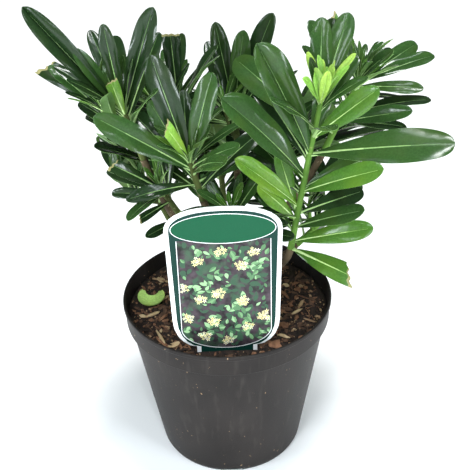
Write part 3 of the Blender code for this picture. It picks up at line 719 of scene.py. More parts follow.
def free_spot(dice, margin):
    """A place on the mix, clear of the wall, the label and the trunk."""
    while True:
        r = (inner_radius(SOIL_TOP) - 1 * MM - margin) * math.sqrt(dice.random())
        x, y = polar(r, dice.uniform(0, math.tau))
        beside = abs(x - LABEL_PLACE.x) < LABEL_NECK_WIDTH / 2 + margin
        at_label = beside and abs(y - LABEL_PLACE.y) < margin + 1 * MM
        at_trunk = math.hypot(x - TRUNK_FOOT.x, y - TRUNK_FOOT.y) < TRUNK_RADIUS * ROOT_FLARE + margin
        if not at_label and not at_trunk:
            return x, y


def scattered(builder, dice, shape, x, y, lift, tilt, slot):
    """Adds a shape that lies on the mix, turned at random and tilted by tilt degrees at most."""
    points, faces = shape
    turn = Matrix.Rotation(dice.uniform(0, math.tau), 3, "Z")
    lean, side = (Matrix.Rotation(math.radians(dice.uniform(-tilt, tilt)), 3, axis) for axis in "XY")
    spot = Vector((x, y, soil_height(x, y) + lift))
    builder.add([turn @ (lean @ (side @ p)) + spot for p in points], faces, slot)


def make_chips(mixes):
    """Flakes of bark, crumbs and fibres that lie on the bed, each with its own shade."""
    dice = random.Random(SEED + 1)
    chips, crumbs, fibres = Builder(), Builder(), Builder()
    for k in range(CHIP_COUNT):
        length = dice.uniform(3, 6) * MM if k % 4 else dice.uniform(7, 13) * MM
        width = length * (dice.uniform(0.4, 0.75) if k % 4 else dice.uniform(0.18, 0.4))
        thick = dice.uniform(0.5, 1.3) * MM
        broad = k % FLAKE_EVERY == 1
        if broad:
            length, width = dice.uniform(7, 10) * MM, dice.uniform(4.5, 7) * MM
        x, y = free_spot(dice, length / 2)
        pick = dice.random()
        slot = next(i for i, share in enumerate(CHIP_SHARES) if pick <= share)
        lift = dice.uniform(0.1, 0.9) * MM
        if broad:
            lift, slot = 1.1 * MM, 2 + k % 3
        scattered(chips, dice, chip_shape(dice, length, width, thick), x, y, lift, 28, slot)
    for _ in range(CRUMB_COUNT):
        size = dice.uniform(0.6, 1.9) * MM
        x, y = free_spot(dice, size / 2)
        slot = min(int(dice.random() ** 2.2 * 4), 3)
        shape = chip_shape(dice, size, size * dice.uniform(0.6, 1), size * dice.uniform(0.5, 0.9))
        scattered(crumbs, dice, shape, x, y, dice.uniform(0.1, 0.7) * MM, 60, slot)
    for _ in range(FIBRE_COUNT):
        length = dice.uniform(4, 13) * MM
        spot = Vector(free_spot(dice, length / 2))
        heading = dice.uniform(0, math.tau)
        way = Vector(polar(1, heading))
        line = []
        for k in range(6):
            t = k / 5 - 0.5
            x, y = spot + way * length * t + way.orthogonal() * dice.uniform(-0.6, 0.6) * MM
            line.append(Vector((x, y, soil_height(x, y) + 1.0 * MM + 0.5 * MM * math.sin(3 * t))))
        width = dice.uniform(0.18, 0.42) * MM
        tube(fibres, ring_points(line, smooth_radii(6, width, width * 0.5), 5), dice.choice((1, 1, 2, 3)))
    for name, builder, sharp in (("chips", chips, 35), ("crumbs", crumbs, 35), ("fibres", fibres, 60)):
        builder.show("mix_" + name, mixes, "potting_mix", sharp)


def make_litter(mixes):
    """Pale splinters and a curled scrap of fresh leaf that lie on the mix."""
    dice = random.Random(SEED + 6)
    splinters = Builder()
    for x, y, bearing, length in SPLINTERS:
        way = Vector(polar(length * MM / 2, math.radians(bearing)))
        line = []
        for t in (-1, -0.5, 0, 0.5, 1):
            px, py = Vector((x, y)) * MM + way * t
            line.append(Vector((px, py, soil_height(px, py) + 1.6 * MM)))
        radii = [w * MM for w in (0.4, 0.9, 1.0, 0.8, 0.3)]
        tube(splinters, ring_points(line, radii, 6, lambda *_: dice.uniform(-0.12, 0.12) * MM), 4)
    splinters.show("mix_splinters", mixes, "potting_mix", 40)
    rows, columns = 14, 6
    top, bottom = [], []
    for k in range(rows + 1):
        t = k / rows
        turn = math.radians(150 + 230 * t)
        half = 4.2 * MM * math.sin(math.pi * (0.05 + 0.9 * t)) ** 0.7
        for j in range(columns + 1):
            v = 2 * j / columns - 1
            x, y = polar(6 * MM + half * v, turn)
            high = SOIL_TOP + 2 * MM + half * 0.35 * v * v + 5 * MM * (t - 0.5) ** 2
            for level, face in ((0.2, top), (-0.2, bottom)):
                face.append(SCRAP_PLACE + Vector((x, y * 1.3, high + level * MM)))
    upper, under = sheet_faces(rows, columns + 1)
    scrap = Builder()
    scrap.add(top + bottom, upper + under)
    scrap.show("leaf_scrap", [leaf_material("leaf_scrap", (0.42, 0.62, 0.17), 0.4)], "potting_mix")


# Label


def layer(k):
    """How far in front of the card's middle its face lies, or the k-th layer of print on it."""
    return LABEL_THICK / 2 + k * PRINT_LAYER


def show_plate(name, ink, outline, front, thick=PRINT_LAYER, bevel=0.0):
    """A flat outline in X and Z whose front face lies at y = -front, on the label's own place."""
    curve = bpy.data.curves.new(name, "CURVE")
    curve.dimensions = "2D"
    curve.fill_mode = "BOTH"
    curve.extrude = thick / 2 - bevel
    curve.bevel_depth = bevel
    curve.bevel_resolution = 2
    curve.offset = -bevel
    spline = curve.splines.new("POLY")
    spline.points.add(len(outline) - 1)
    for point, (x, z) in zip(spline.points, outline):
        point.co = (x, z, 0, 1)
    spline.use_cyclic_u = True
    flat = add_object(name, curve)
    mesh = worked_out(flat)
    bpy.data.objects.remove(flat, do_unlink=True)
    mesh.transform(Matrix.Rotation(math.pi / 2, 4, "X"))
    mesh.transform(Matrix.Translation(LABEL_PLACE - Vector((0, front - thick / 2, 0))))
    shape = bmesh.new()
    shape.from_mesh(mesh)
    bmesh.ops.remove_doubles(shape, verts=shape.verts, dist=1e-6)
    bmesh.ops.recalc_face_normals(shape, faces=shape.faces)
    shape.to_mesh(mesh)
    shape.free()
    if bevel:
        smooth(mesh, 40)
    show(name, mesh, [ink], "label")


def header_outline(inset=0.0, count=96):
    half_x, half_z = (half - inset for half in HEADER_HALF)
    spots = (polar(1, math.tau * k / count) for k in range(count))
    return [(half_x * x, HEADER_CENTRE + half_z * z) for x, z in spots]


def window_outline(inset=0.0, steps=28):
    """The picture's frame: straight sides and a foot that is a low arc."""
    half = WINDOW_HALF - inset
    foot = WINDOW_BOTTOM + inset
    side_end = WINDOW_SIDE_END + inset * 0.3
    made = [(half, WINDOW_TOP), (-half, WINDOW_TOP)]
    for k in range(steps + 1):
        turn = math.pi + math.pi * k / steps
        made.append((half * math.cos(turn), side_end + (side_end - foot) * math.sin(turn)))
    return made


def ring_face(builder, outer, inner, front):
    """A flat printed line between two outlines with the same number of points."""
    count = len(outer)
    faces = [(k, (k + 1) % count, count + (k + 1) % count, count + k) for k in range(count)]
    builder.add([label_spot(x, z, front) for x, z in outer + inner], faces)


def label_spot(x, z, front):
    return Vector((LABEL_PLACE.x + x, LABEL_PLACE.y - front, z))


def in_window(x, z, margin):
    """Whether a printed motif fits the picture and stays below the header."""
    if abs(x) > WINDOW_HALF - LINE_WIDTH - margin:
        return False
    low = WINDOW_SIDE_END - (WINDOW_SIDE_END - WINDOW_BOTTOM) * math.sqrt(max(1 - (x / WINDOW_HALF) ** 2, 0))
    reach = (x / HEADER_HALF[0]) ** 2
    high = HEADER_CENTRE - HEADER_HALF[1] * math.sqrt(max(1 - reach, 0))
    return low + LINE_WIDTH + margin < z < min(high, WINDOW_TOP) - LINE_WIDTH - margin


def window_spot(dice):
    return dice.uniform(-WINDOW_HALF, WINDOW_HALF), dice.uniform(WINDOW_BOTTOM, WINDOW_TOP)


def printed_leaf(dice, x, z, length, front, builder, slot):
    """A small pointed leaf shape, flat, with a fold down its middle that may part two inks."""
    ux, uz = polar(1, dice.uniform(0, math.tau))
    half = length * dice.uniform(0.2, 0.3)
    rim = []
    for k in range(6):
        s = k / 5
        w = half * math.sin(math.pi * s**1.3) ** 0.7 if 0 < s < 1 else 0
        rim.append((length * (s - 0.5), w))
    halves = []
    for side in (1, -1):
        halves.append([(x + a * ux - side * w * uz, z + a * uz + side * w * ux) for a, w in rim])
    if not all(in_window(px, pz, 0) for half in halves for px, pz in half):
        return
    fold = [(x + a * ux, z + a * uz) for a, _ in rim[1:-1]]
    faces = [(0, 1, 6), (1, 2, 7, 6), (2, 3, 8, 7), (3, 4, 9, 8), (4, 5, 9)]
    slots = (slot, slot + dice.choice((0, 1)) if slot < 2 else slot)
    for half, ink in zip(halves, slots):
        builder.add([label_spot(px, pz, front) for px, pz in half + fold], faces, ink)
        faces = [face[:1] + face[:0:-1] for face in faces]


def printed_blossom(dice, x, z, front, builder):
    """A head of five-petalled florets about 8 mm across."""
    petal = ((0.05, -0.08), (0.55, -0.19), (0.95, -0.09), (1.0, 0.08), (0.6, 0.19), (0.05, 0.08))
    for k in range(dice.randint(8, 14)):
        dx, dz = polar(3.8 * MM * math.sqrt(k / 12), math.radians(k * GOLDEN_ANGLE))
        fx, fz = x + dx, z + dz * 0.85
        size = dice.uniform(0.95, 1.5) * MM
        if not in_window(fx, fz, size):
            continue
        start = dice.uniform(0, math.tau)
        slot = dice.choice((0, 0, 1))
        for i in range(5):
            ux, uz = polar(size, start + math.tau * i / 5)
            rim = [(fx + a * ux - b * uz, fz + a * uz + b * ux) for a, b in petal]
            # Each petal lies a hair in front of the one before.
            points = [label_spot(px, pz, front + i * 1e-6) for px, pz in rim]
            builder.add(points, [(0, 1, 4, 5), (1, 2, 3, 4)], slot)
        ring = [polar(0.28 * size, math.tau * i / 7) for i in range(7)]
        heart = [label_spot(fx + hx, fz + hz, front + 0.01 * MM) for hx, hz in ring]
        builder.add(heart, [tuple(range(7))], 2)


def make_label():
    """A card on a spike with a bare header and a generic picture of blossom among leaves."""
    white = printed_material("white_card", (0.86, 0.87, 0.87), 0.35)
    panel_ink = printed_material("panel_ink", (0.003, 0.03, 0.022))
    header_ink = printed_material("header_ink", (0.003, 0.07, 0.03))
    show_plate("label_card", white, label_outline(), layer(0), LABEL_THICK, 0.22 * MM)
    show_plate("label_panel", panel_ink, label_outline(-LABEL_BORDER), layer(1))
    show_plate("label_header", header_ink, header_outline(), layer(5))
    show_plate("label_picture", picture_ground_material(), window_outline(), layer(2))
    lines = Builder()
    ring_face(lines, header_outline(), header_outline(LINE_WIDTH), layer(5.5))
    ring_face(lines, window_outline(), window_outline(LINE_WIDTH), layer(4))
    lines.show("label_lines", [white], "label")

    dice = random.Random(SEED + 2)
    motifs, blossom = Builder(), Builder()
    for k in range(PRINTED_LEAVES):
        x, z = window_spot(dice)
        slot = 3 if k < PRINTED_LEAVES * 0.45 else dice.choice((0, 0, 1, 2))
        if slot < 3 and noise.noise(Vector((x, z, 5)) * 90) < -0.05:
            continue
        front = layer(2.3 + 1.2 * k / PRINTED_LEAVES)
        printed_leaf(dice, x, z, dice.uniform(2.2, 5.5) * MM, front, motifs, slot)
    heads = []
    while len(heads) < BLOSSOM_HEADS:
        x, z = window_spot(dice)
        if in_window(x, z, 2 * MM) and all(math.hypot(x - a, z - b) > 11 * MM for a, b in heads):
            heads.append((x, z))
            printed_blossom(dice, x, z, layer(3.7), blossom)
    for name, builder, inks in (("leaves", motifs, LEAF_INKS), ("blossom", blossom, PETAL_INKS)):
        builder.show("label_" + name, [printed_material(*ink) for ink in inks], "label")


# Layout of limbs and leaves, by the same rule as the solids


def trunk_at(height):
    share = (height - TRUNK_FOOT.z) / (TRUNK_TOP.z - TRUNK_FOOT.z)
    return TRUNK_FOOT.lerp(TRUNK_TOP, share)


def bough_points(shoot, steps=6):
    """From the trunk's middle out, and then up to the shoot's start in the shoot's own direction."""
    root = trunk_at(FORK_LOWEST + shoot.fork * FORK_STEP)
    tip = Vector(shoot.start) * MM
    heading = (Vector(shoot.apex) * MM - tip).normalized()
    knee = tip - heading * (tip - root).length * 0.5
    return bend_points(root, knee, tip, steps)


def stem_points(shoot, steps=6):
    """On from the bough's tip to the apex, with a slight bow."""
    tip, apex = Vector(shoot.start) * MM, Vector(shoot.apex) * MM
    heading = (apex - tip).normalized()
    start = tip + heading * CLEAR
    knee = start.lerp(apex, 0.5) + heading.cross(UP) * (apex - start).length * STEM_BOW
    return bend_points(start, knee, apex, steps)


def turned_across(axis, degrees):
    """A direction square to the axis, turned round it by degrees."""
    return Matrix.Rotation(math.radians(degrees), 3, axis) @ axis.orthogonal().normalized()


def opened(axis, degrees, opening):
    """A direction that opens from the axis by so many degrees, turned round it by degrees."""
    angle = math.radians(opening)
    return (axis * math.cos(angle) + turned_across(axis, degrees) * math.sin(angle)).normalized()


def twig_lines(shoot, dice, limbs):
    """Side twigs, each from a share of the stem outwards and up, that keep clear of the other limbs."""
    stem = stem_points(shoot)
    reach = max((stem[-1] - stem[0]).length * 0.62, TWIG_LEAST)
    others = [other for name, other, _ in limbs if name != shoot.name]
    first = dice.uniform(0, 360)
    made = []
    for k in range(shoot.twigs):
        root, axis = along(stem, 0.2 + 0.55 * (k + 0.5) / shoot.twigs)
        for attempt in range(12):
            across = turned_across(axis, first + k * GOLDEN_ANGLE + attempt * 30)
            knee = root + (across + axis * 0.45).normalized() * reach * 0.5
            line = bend_points(root, knee, knee + (axis + UP + across * 0.5).normalized() * reach * 0.6, 3)
            if all(distance_to_line(place, other) > TWIG_ROOM for place in line[1:] for other in others):
                made.append(line)
                break
    return made


def along(points, share):
    """The point at a share of a line's length, and the line's direction there."""
    place = min(max(share, 0.0), 1.0) * (len(points) - 1)
    k = min(int(place), len(points) - 2)
    return points[k].lerp(points[k + 1], place - k), (points[k + 1] - points[k]).normalized()


def leaf_half_width(share, width):
    """Half the width of a spoon-shaped blade, widest at seven tenths of its length."""
    blade = 1.61 * share**0.8 * math.sqrt(1 - share**3.2)
    return max(blade * width / 2, PETIOLE_HALF * (1 - 0.35 * share))


def leaf_stations(root, heading, axis, length, width, bend, twist, rings=LEAF_RINGS):
    """Sections along a blade that starts along heading, faces axis and arches back by bend degrees."""
    normal = (axis - heading * axis.dot(heading)).normalized()
    normal = Matrix.Rotation(math.radians(twist), 3, heading) @ normal
    made = []
    place = root + heading * (SHOOT_TIP_RADIUS - LEAF_ROOT_DEPTH)
    last = 0.0
    for share in rings:
        turn = math.radians(bend) * (0.45 - (share + last) / 2)
        forward = heading * math.cos(turn) + normal * math.sin(turn)
        place = place + forward * (share - last) * length
        facing = normal * math.cos(turn) - heading * math.sin(turn)
        made.append(Station(place, forward.cross(facing), facing, leaf_half_width(share, width)))
        last = share
    return made


def leaf_shell(stations, thick, grow=0.0):
    """Points and faces of a blade with a four-sided section, its edges raised a little above its midrib."""
    points = []
    for s in stations[:-1]:
        half = s.half + grow
        up = thick / 2 + grow
        edge = s.normal * s.half * 0.22
        points += [s.centre - s.side * half + edge, s.centre + s.normal * up]
        points += [s.centre + s.side * half + edge, s.centre - s.normal * up]
    last = len(points) - 4
    tip = [(last + i, last + (i + 1) % 4, len(points)) for i in range(4)]
    faces = wall_faces(len(stations) - 1, 4) + tip + [(3, 2, 1, 0)]
    return points + [stations[-1].centre], faces


def limb_lines():
    """Each limb as its owner's name, its points and its radius, for keeping leaves off it."""
    lines = [("trunk", [TRUNK_FOOT, TRUNK_TOP], TRUNK_RADIUS)]
    for shoot in SHOOTS:
        lines.append(("bough_" + shoot.name, bough_points(shoot), BOUGH_RADIUS))
        lines.append((shoot.name, stem_points(shoot), BOUGH_TIP_RADIUS))
    dice = random.Random(SEED)
    for shoot in SHOOTS:
        lines += [(shoot.name, line, TWIG_RADIUS) for line in twig_lines(shoot, dice, lines)]
    return lines


def distance_to_line(point, line):
    best = 1.0
    for a, b in zip(line, line[1:]):
        way = b - a
        share = min(max((point - a).dot(way) / way.length_squared, 0.0), 1.0)
        best = min(best, (point - a - way * share).length)
    return best


def tube_shell(line, radius, sides=6):
    """Points and faces of a tube round a line."""
    along_line = line[-1] - line[0]
    aside = min((Vector((1, 0, 0)), Vector((0, 1, 0)), UP), key=lambda axis: abs(axis.dot(along_line)))
    points = []
    for k, place in enumerate(line):
        way = (line[min(k + 1, len(line) - 1)] - line[max(k - 1, 0)]).normalized()
        u = way.cross(aside).normalized()
        v = way.cross(u)
        for i in range(sides):
            turn = math.tau * i / sides
            points.append(place + (u * math.cos(turn) + v * math.sin(turn)) * radius)
    last = len(points) - sides
    ends = [tuple(range(sides)), tuple(range(last, last + sides))]
    return points, wall_faces(len(line), sides) + ends


def obstacles(limbs):
    """What leaves keep off, as an owner's name and a search tree each: the limbs, the pot and the label."""
    shells = [(name, tube_shell(line, radius * 1.15 + LEAF_GAP)) for name, line, radius in limbs]
    block = [Vector((0, 0, 0)), UP * (POT_HEIGHT + LEAF_LIFT)]
    shells.append(("pot", tube_shell(block, RIM_RADIUS + 3 * MM, 24)))
    face = [(x, z) for x, z in label_outline(1.5 * MM) if z > SOIL_TOP]
    count = len(face)
    card = [LABEL_PLACE + Vector((x, y, z)) for y in (-2 * MM, 2 * MM) for x, z in face]
    ends = [tuple(range(count)), tuple(range(count, 2 * count))]
    shells.append(("label", (card, wall_faces(2, count) + ends)))
    return [(name, BVHTree.FromPolygons(*shell)) for name, shell in shells]


def inside_crown(stations):
    """Whether a blade keeps above the crown's lower outline."""
    for s in stations[1:]:
        slope = CROWN_SLOPE_LEFT if s.centre.x < 0 else CROWN_SLOPE_RIGHT
        lowest = CROWN_FOOT.z + slope * max(abs(s.centre.x) - CROWN_FOOT.x, 0)
        if s.centre.z + SIGHT_SLOPE * s.centre.y < lowest:
            return False
    return True


def shell_tree(stations, thick, grow=0.0):
    return BVHTree.FromPolygons(*leaf_shell(stations, thick, grow))


def keeps_clear(stations, thick, owner, crown):
    """Whether a blade touches nothing. Near its foot it may touch its own stem and bough."""
    blades = [shell_tree(stations[skip:], thick) for skip in range(3)]
    for name, tree in crown.things:
        blade = blades[2 if name == owner else 1 if name == "bough_" + owner else 0]
        if blade.overlap(tree):
            return False
    grown = shell_tree(stations, thick, LEAF_GAP)
    for name, tree, outer_tree in crown.trees:
        if blades[2].overlap(outer_tree) if name == owner else grown.overlap(tree):
            return False
    return True


def fitted_leaf(owner, line, share, heading, length, age, dice, crown, bend, keen, look=""):
    """A leaf at a share of a line, in the first direction near heading that keeps clear, or None."""
    root, axis = along(line, min(share, LEAF_HIGHEST))
    facing = (axis * 0.3 + FRONT if keen else axis + LIGHT * 0.8).normalized()
    narrowing = (length / LEAF_FULL) ** LEAF_NARROWING
    width = length * LEAF_WIDTH_SHARE * narrowing * BROAD[owner] * dice.uniform(0.92, 1.08)
    twist = dice.uniform(-14, 14)
    thick = max(LEAF_LEAST_THICK, length * LEAF_THICK_SHARE)
    turns = (0, 7, -7, 14, -14, 21, -21, 28, -28) if keen else (0, 12, -12, 24, -24, 36, -36)
    for shrink in (1.0, 0.86):
        for lift in (0, 8, -8, 16, -16):
            for turn in turns:
                side = heading.cross(facing).normalized()
                way = Matrix.Rotation(math.radians(lift), 3, side) @ heading
                way = Matrix.Rotation(math.radians(turn), 3, facing) @ way
                shape = (root, way, facing, length * shrink, width * shrink, bend, twist)
                stations = leaf_stations(*shape)
                if (keen or inside_crown(stations)) and keeps_clear(stations, thick, owner, crown):
                    return Leaf(owner, stations, thick, age, shape, look)
    return None


def keep(leaf, crown):
    """Adds a leaf, if there is one, and keeps the later ones off it."""
    if leaf:
        crown.leaves.append(leaf)
        whole, outer = (shell_tree(leaf.stations[skip:], leaf.thick) for skip in (0, 2))
        crown.trees.append((leaf.shoot, whole, outer))


def lead_leaves(shoot, dice, crown):
    line = stem_points(shoot)
    for (share, bearing, rise, length), look in zip(shoot.leads, shoot.looks.split()):
        b, r = math.radians(bearing), math.radians(rise)
        heading = Vector((math.cos(b) * math.cos(r), math.sin(b) * math.cos(r), math.sin(r)))
        bend = dice.uniform(10, 24)
        leaf = fitted_leaf(
            shoot.name, line, share, heading, length * MM, 1 - share, dice, crown, bend, True, look
        )
        keep(leaf, crown)


def spiral_leaves(owner, line, count, length, lowest, dice, crown):
    """Leaves round a line by the golden angle, crowded and steeper towards its tip."""
    first = dice.uniform(0, 360)
    for k in range(count):
        u = (k + 0.5) / count
        share = lowest + (1 - lowest) * (1 - (1 - u) ** 1.5)
        _, axis = along(line, share)
        heading = opened(axis, first + k * GOLDEN_ANGLE, 78 - 58 * u**1.2 + dice.uniform(-7, 7))
        size = length * MM * (0.85 + 0.25 * math.sin(math.pi * min(1.3 * u, 1))) * (1 - 0.5 * u**4)
        bend = dice.uniform(14, 34)
        keep(fitted_leaf(owner, line, share, heading, size, 1 - u, dice, crown, bend, False), crown)


def all_leaves(limbs, crown):
    """Every leaf of the solids, leads first. A later leaf that would touch is turned or skipped."""
    dice = random.Random(SEED)
    for shoot in SHOOTS:
        lead_leaves(shoot, dice, crown)
    for shoot in SHOOTS:
        spiral_leaves(shoot.name, stem_points(shoot), shoot.count, shoot.length, 0.12, dice, crown)
    for shoot in SHOOTS:
        for line in twigs_of(shoot, limbs):
            spiral_leaves(shoot.name, line, TWIG_LEAVES, shoot.length * 0.85, 0.35, dice, crown)


def twigs_of(shoot, limbs):
    return [line for name, line, radius in limbs if name == shoot.name and radius == TWIG_RADIUS]


# Trunk, boughs and stems


def bark_relief(seed, depth):
    """Uneven girth: lumps, lengthwise fissures and a crescent scar below each lost leaf."""

    def relief(length, turn):
        x, y = math.cos(turn), math.sin(turn)
        lump = noise.noise(Vector((x * 0.8, y * 0.8, length * 90 + seed)))
        fissure = abs(noise.noise(Vector((x * 3.2, y * 3.2, length * 160 + seed))))
        made = depth * (0.5 * lump - 0.8 * fissure)
        step = length / SCAR_STEP
        for k in (math.floor(step), math.floor(step) + 1):
            away = (turn - math.radians(k * GOLDEN_ANGLE + seed * 40) + math.pi) % math.tau - math.pi
            rise = (step - k) * SCAR_STEP
            made += depth * 1.1 * math.exp(-((away / 0.6) ** 2) - (rise / (0.8 * MM)) ** 2)
        return made

    return relief


def fine_line(points, step):
    """The same line with a point about every step."""
    length = sum((b - a).length for a, b in zip(points, points[1:]))
    count = max(int(length / step), 4)
    return [along(points, k / count)[0] for k in range(count + 1)]


def add_limb(builder, points, step, ends, sides, relief):
    """A tube round a line, with a ring about every step; ends are what smooth_radii takes."""
    line = fine_line(points, step)
    tube(builder, ring_points(line, smooth_radii(len(line), *ends), sides, relief))


def make_limbs(bark):
    trunk = Builder()
    knee = TRUNK_FOOT.lerp(TRUNK_TOP, 0.5) + Vector((1 * MM, -1 * MM, 0))
    points = bend_points(TRUNK_FOOT, knee, TRUNK_TOP, 90)
    radii = smooth_radii(len(points), TRUNK_RADIUS, TRUNK_TOP_RADIUS, ROOT_FLARE - 1, 0.05)
    rings = ring_points(points, radii, 56, bark_relief(1, 0.55 * MM))
    for p in rings[0]:
        p.z = TRUNK_FOOT.z
    tube(trunk, rings)
    turns = (0.3, 0.8, 1.2, 1.5)
    crest = [TRUNK_TOP + UP * TRUNK_TOP_RADIUS * 0.7 * math.sin(turn) for turn in turns]
    tube(trunk, ring_points(crest, [TRUNK_TOP_RADIUS * math.cos(turn) for turn in turns], 56))
    trunk.show("trunk_bark", [bark], "trunk", 180)
    for number, shoot in enumerate(SHOOTS):
        bough = Builder()
        relief = bark_relief(number + 2, 0.28 * MM)
        ends = (BOUGH_RADIUS, BOUGH_TIP_RADIUS, 0.35, 0.05)
        add_limb(bough, bough_points(shoot, 60), 0.8 * MM, ends, 28, relief)
        bough.show("bark_" + shoot.name, [bark], "bough_" + shoot.name, 180)


def make_stems(limbs, fresh, ripe):
    """The green shoots on the boughs' tips, with their twigs."""
    for number, shoot in enumerate(SHOOTS):
        stems = Builder()
        relief = bark_relief(number + 20, 0.16 * MM)
        add_limb(stems, stem_points(shoot, 40), 0.7 * MM, (BOUGH_TIP_RADIUS, SHOOT_TIP_RADIUS), 24, relief)
        relief = bark_relief(number + 40, 0.12 * MM)
        for twig in twigs_of(shoot, limbs):
            add_limb(stems, twig, 0.7 * MM, (TWIG_RADIUS, TWIG_TIP_RADIUS, 0.4, 0.08), 18, relief)
        green = fresh if shoot.fresh >= GREEN_STEM else ripe
        stems.show("stems_" + shoot.name, [green], "leaves_" + shoot.name, 180)


# Leaves

# Where the materials after those of TONES stand: two for the under faces, the margin and a tear.
UNDER_SLOT = len(TONES)
MARGIN_SLOT = UNDER_SLOT + 2
TORN_SLOT = MARGIN_SLOT + 1
# From this tone on a leaf has fresh ribs, whose materials stand after the three ripe ones.
FRESH_TONE = TONES.index("m")
FRESH_RIB_SLOT = 3


def fine_rings(rows):
    """Shares of a blade's length, closer together towards its tip."""
    return [0.45 * t + 0.55 * math.sin(math.pi / 2 * t) for t in (k / rows for k in range(rows + 1))]


def half_section(columns, fold, roll):
    """Half a blade's cross-section from the midrib out, as (across, rise) for a half width of 1."""
    across, rise = [0.0], [0.0]
    for j in range(columns):
        slope = math.radians(fold - roll * ((j + 0.5) / columns) ** 1.5)
        across.append(across[-1] + math.cos(slope) / columns)
        rise.append(rise[-1] + math.sin(slope) / columns)
    return list(zip(across, rise))


def blade_relief(v, s, half, wave):
    """Waves that grow towards the margins, and sunken side veins."""
    a = abs(v)
    swell = 0.09 * a * a * math.sin(math.tau * (s * wave[0] + wave[1]) + (wave[2] if v < 0 else 0))
    fade = min(a * 4, 1) * min((1 - a) * 3, 1) * min(s * 4, 1)
    vein = 0.5 + 0.5 * math.cos(math.tau * (s - 0.11 * a) * VEIN_PAIRS)
    return half * swell - VEIN_DEPTH * vein * fade


def is_cut(leaf):
    return leaf.look[:1].isupper()


def fold_of(leaf, dice):
    """How steeply a blade's halves rise from its midrib, in degrees."""
    told = leaf.look[1:]
    return 10 * int(told) + dice.uniform(-3, 3) if told else dice.uniform(8, 28)


def add_blade(builder, leaf, dice, rows, columns, tone):
    """A closed thin blade with its upper face, under face, margin and torn end in their own materials."""
    stations = leaf_stations(*leaf.shape, rings=fine_rings(rows))
    torn = is_cut(leaf)
    if torn:
        rows = int(rows * CUT_SHARE)
    wave = (dice.uniform(1.2, 2.4), dice.random(), dice.uniform(0.5, 2.5))
    fold, lean = fold_of(leaf, dice), dice.uniform(-7, 7)
    roll = fold * dice.uniform(0.5, 1.1) + dice.uniform(6, 20)
    halves = [half_section(columns, fold + lean, roll), half_section(columns, fold - lean, roll)]
    skew = dice.choice((-0.8, -0.4, 0.5, 0.9)) if torn else 0
    wide = 2 * columns + 1
    top, bottom = [], []
    for k, s in enumerate(stations[: rows + 1]):
        share = k / rows
        thick = BLADE_THICK * (1 - 0.45 * share)
        forward = s.normal.cross(s.side)
        for j in range(wide):
            v = (j - columns) / columns
            across, rise = halves[j > columns][abs(j - columns)]
            rise = s.half * rise + blade_relief(v, share, s.half, wave)
            edge = thick * (1 - 0.55 * abs(v) ** 4)
            spot = s.centre + s.side * s.half * math.copysign(across, v) + s.normal * rise
            spot += forward * s.half * (skew * v + 0.15 * math.sin(9 * v)) * share**8 * abs(skew)
            top.append(spot + s.normal * edge / 2)
            bottom.append(spot - s.normal * edge / 2)
    count, end = len(top), rows * wide
    upper, under = sheet_faces(rows, wide)
    slots = [TORN_SLOT if torn and max(face) >= end else tone for face in upper]
    slots += [UNDER_SLOT + (tone >= 3)] * len(under)
    # The rim goes up the left, across the end, down the right and back.
    rim = [*range(0, end, wide), *range(end, end + wide - 1), *range(end + wide - 1, wide - 1, -wide)]
    rim += range(wide - 1, 0, -1)
    edges = [(a, b, count + b, count + a) for a, b in zip(rim, rim[1:] + rim[:1])]
    slots += [TORN_SLOT if torn and min(edge) >= end else MARGIN_SLOT for edge in edges]
    builder.add(top + bottom, upper + under + edges, slots)


def add_rib(builder, leaf, rows, slot):
    """The petiole and midrib: level with the groove above, and standing out beneath."""
    stations = leaf_stations(*leaf.shape, rings=fine_rings(rows))
    size = min(leaf.shape[3] / (55 * MM), 1.25)
    sides = ((0.0, 1.0), (0.75, 0.55), (1.0, -0.35), (0.5, -1.0), (-0.5, -1.0), (-1.0, -0.35), (-0.75, 0.55))
    rings = []
    for k, s in enumerate(stations[: int(rows * (CUT_SHARE if is_cut(leaf) else 0.94))]):
        share = k / rows
        half = RIB_HALF * size * ((1 - share) ** 1.9 * 0.88 + 0.12)
        high = BLADE_THICK / 2 + 0.12 * MM * (1 - share) + 0.05 * MM
        low = BLADE_THICK / 2 + 0.75 * MM * size * (1 - share) ** 1.3 + 0.08 * MM
        rings.append([
            s.centre + s.side * half * across + s.normal * level * (high if level > 0 else low)
            for across, level in sides
        ])
    # It pales towards the petiole.
    steps = [slot + min(int(3 * k / rows / 0.85), 2) for k in range(len(rings) - 1)]
    tube(builder, rings, [step for step in steps for _ in sides] + [slot, slot + 2])


def tone_of(leaf, fresh, dice):
    """A lead's own tone, or one dealt by the shoot's freshness and the leaf's age."""
    if leaf.look:
        return TONES.index(leaf.look[0].lower())
    score = fresh * 1.4 + (1 - leaf.age) * 1.1 + dice.uniform(-0.5, 0.7)
    return min(max(int(score), 0), 3)


def filling_leaves(limbs, crown):
    """More leaves by the same spiral on the stems and twigs, wherever they keep clear of the others."""
    dice = random.Random(SEED + 5)
    for name, leads, looks in MORE_LEADS:
        shoot = next(shoot for shoot in SHOOTS if shoot.name == name)
        lead_leaves(shoot._replace(leads=leads, looks=looks), dice, crown)
    fill = crown._replace(leaves=[])
    for shoot in SHOOTS:
        spiral_leaves(shoot.name, stem_points(shoot), shoot.count, shoot.length * 0.85, 0.3, dice, fill)
        for line in twigs_of(shoot, limbs):
            spiral_leaves(shoot.name, line, TWIG_LEAVES, shoot.length * 0.7, 0.2, dice, fill)
    # None of them points to the front, where it would hide the leads.
    crown.leaves.extend(leaf for leaf in fill.leaves if leaf.shape[1].y > FILL_FRONT)


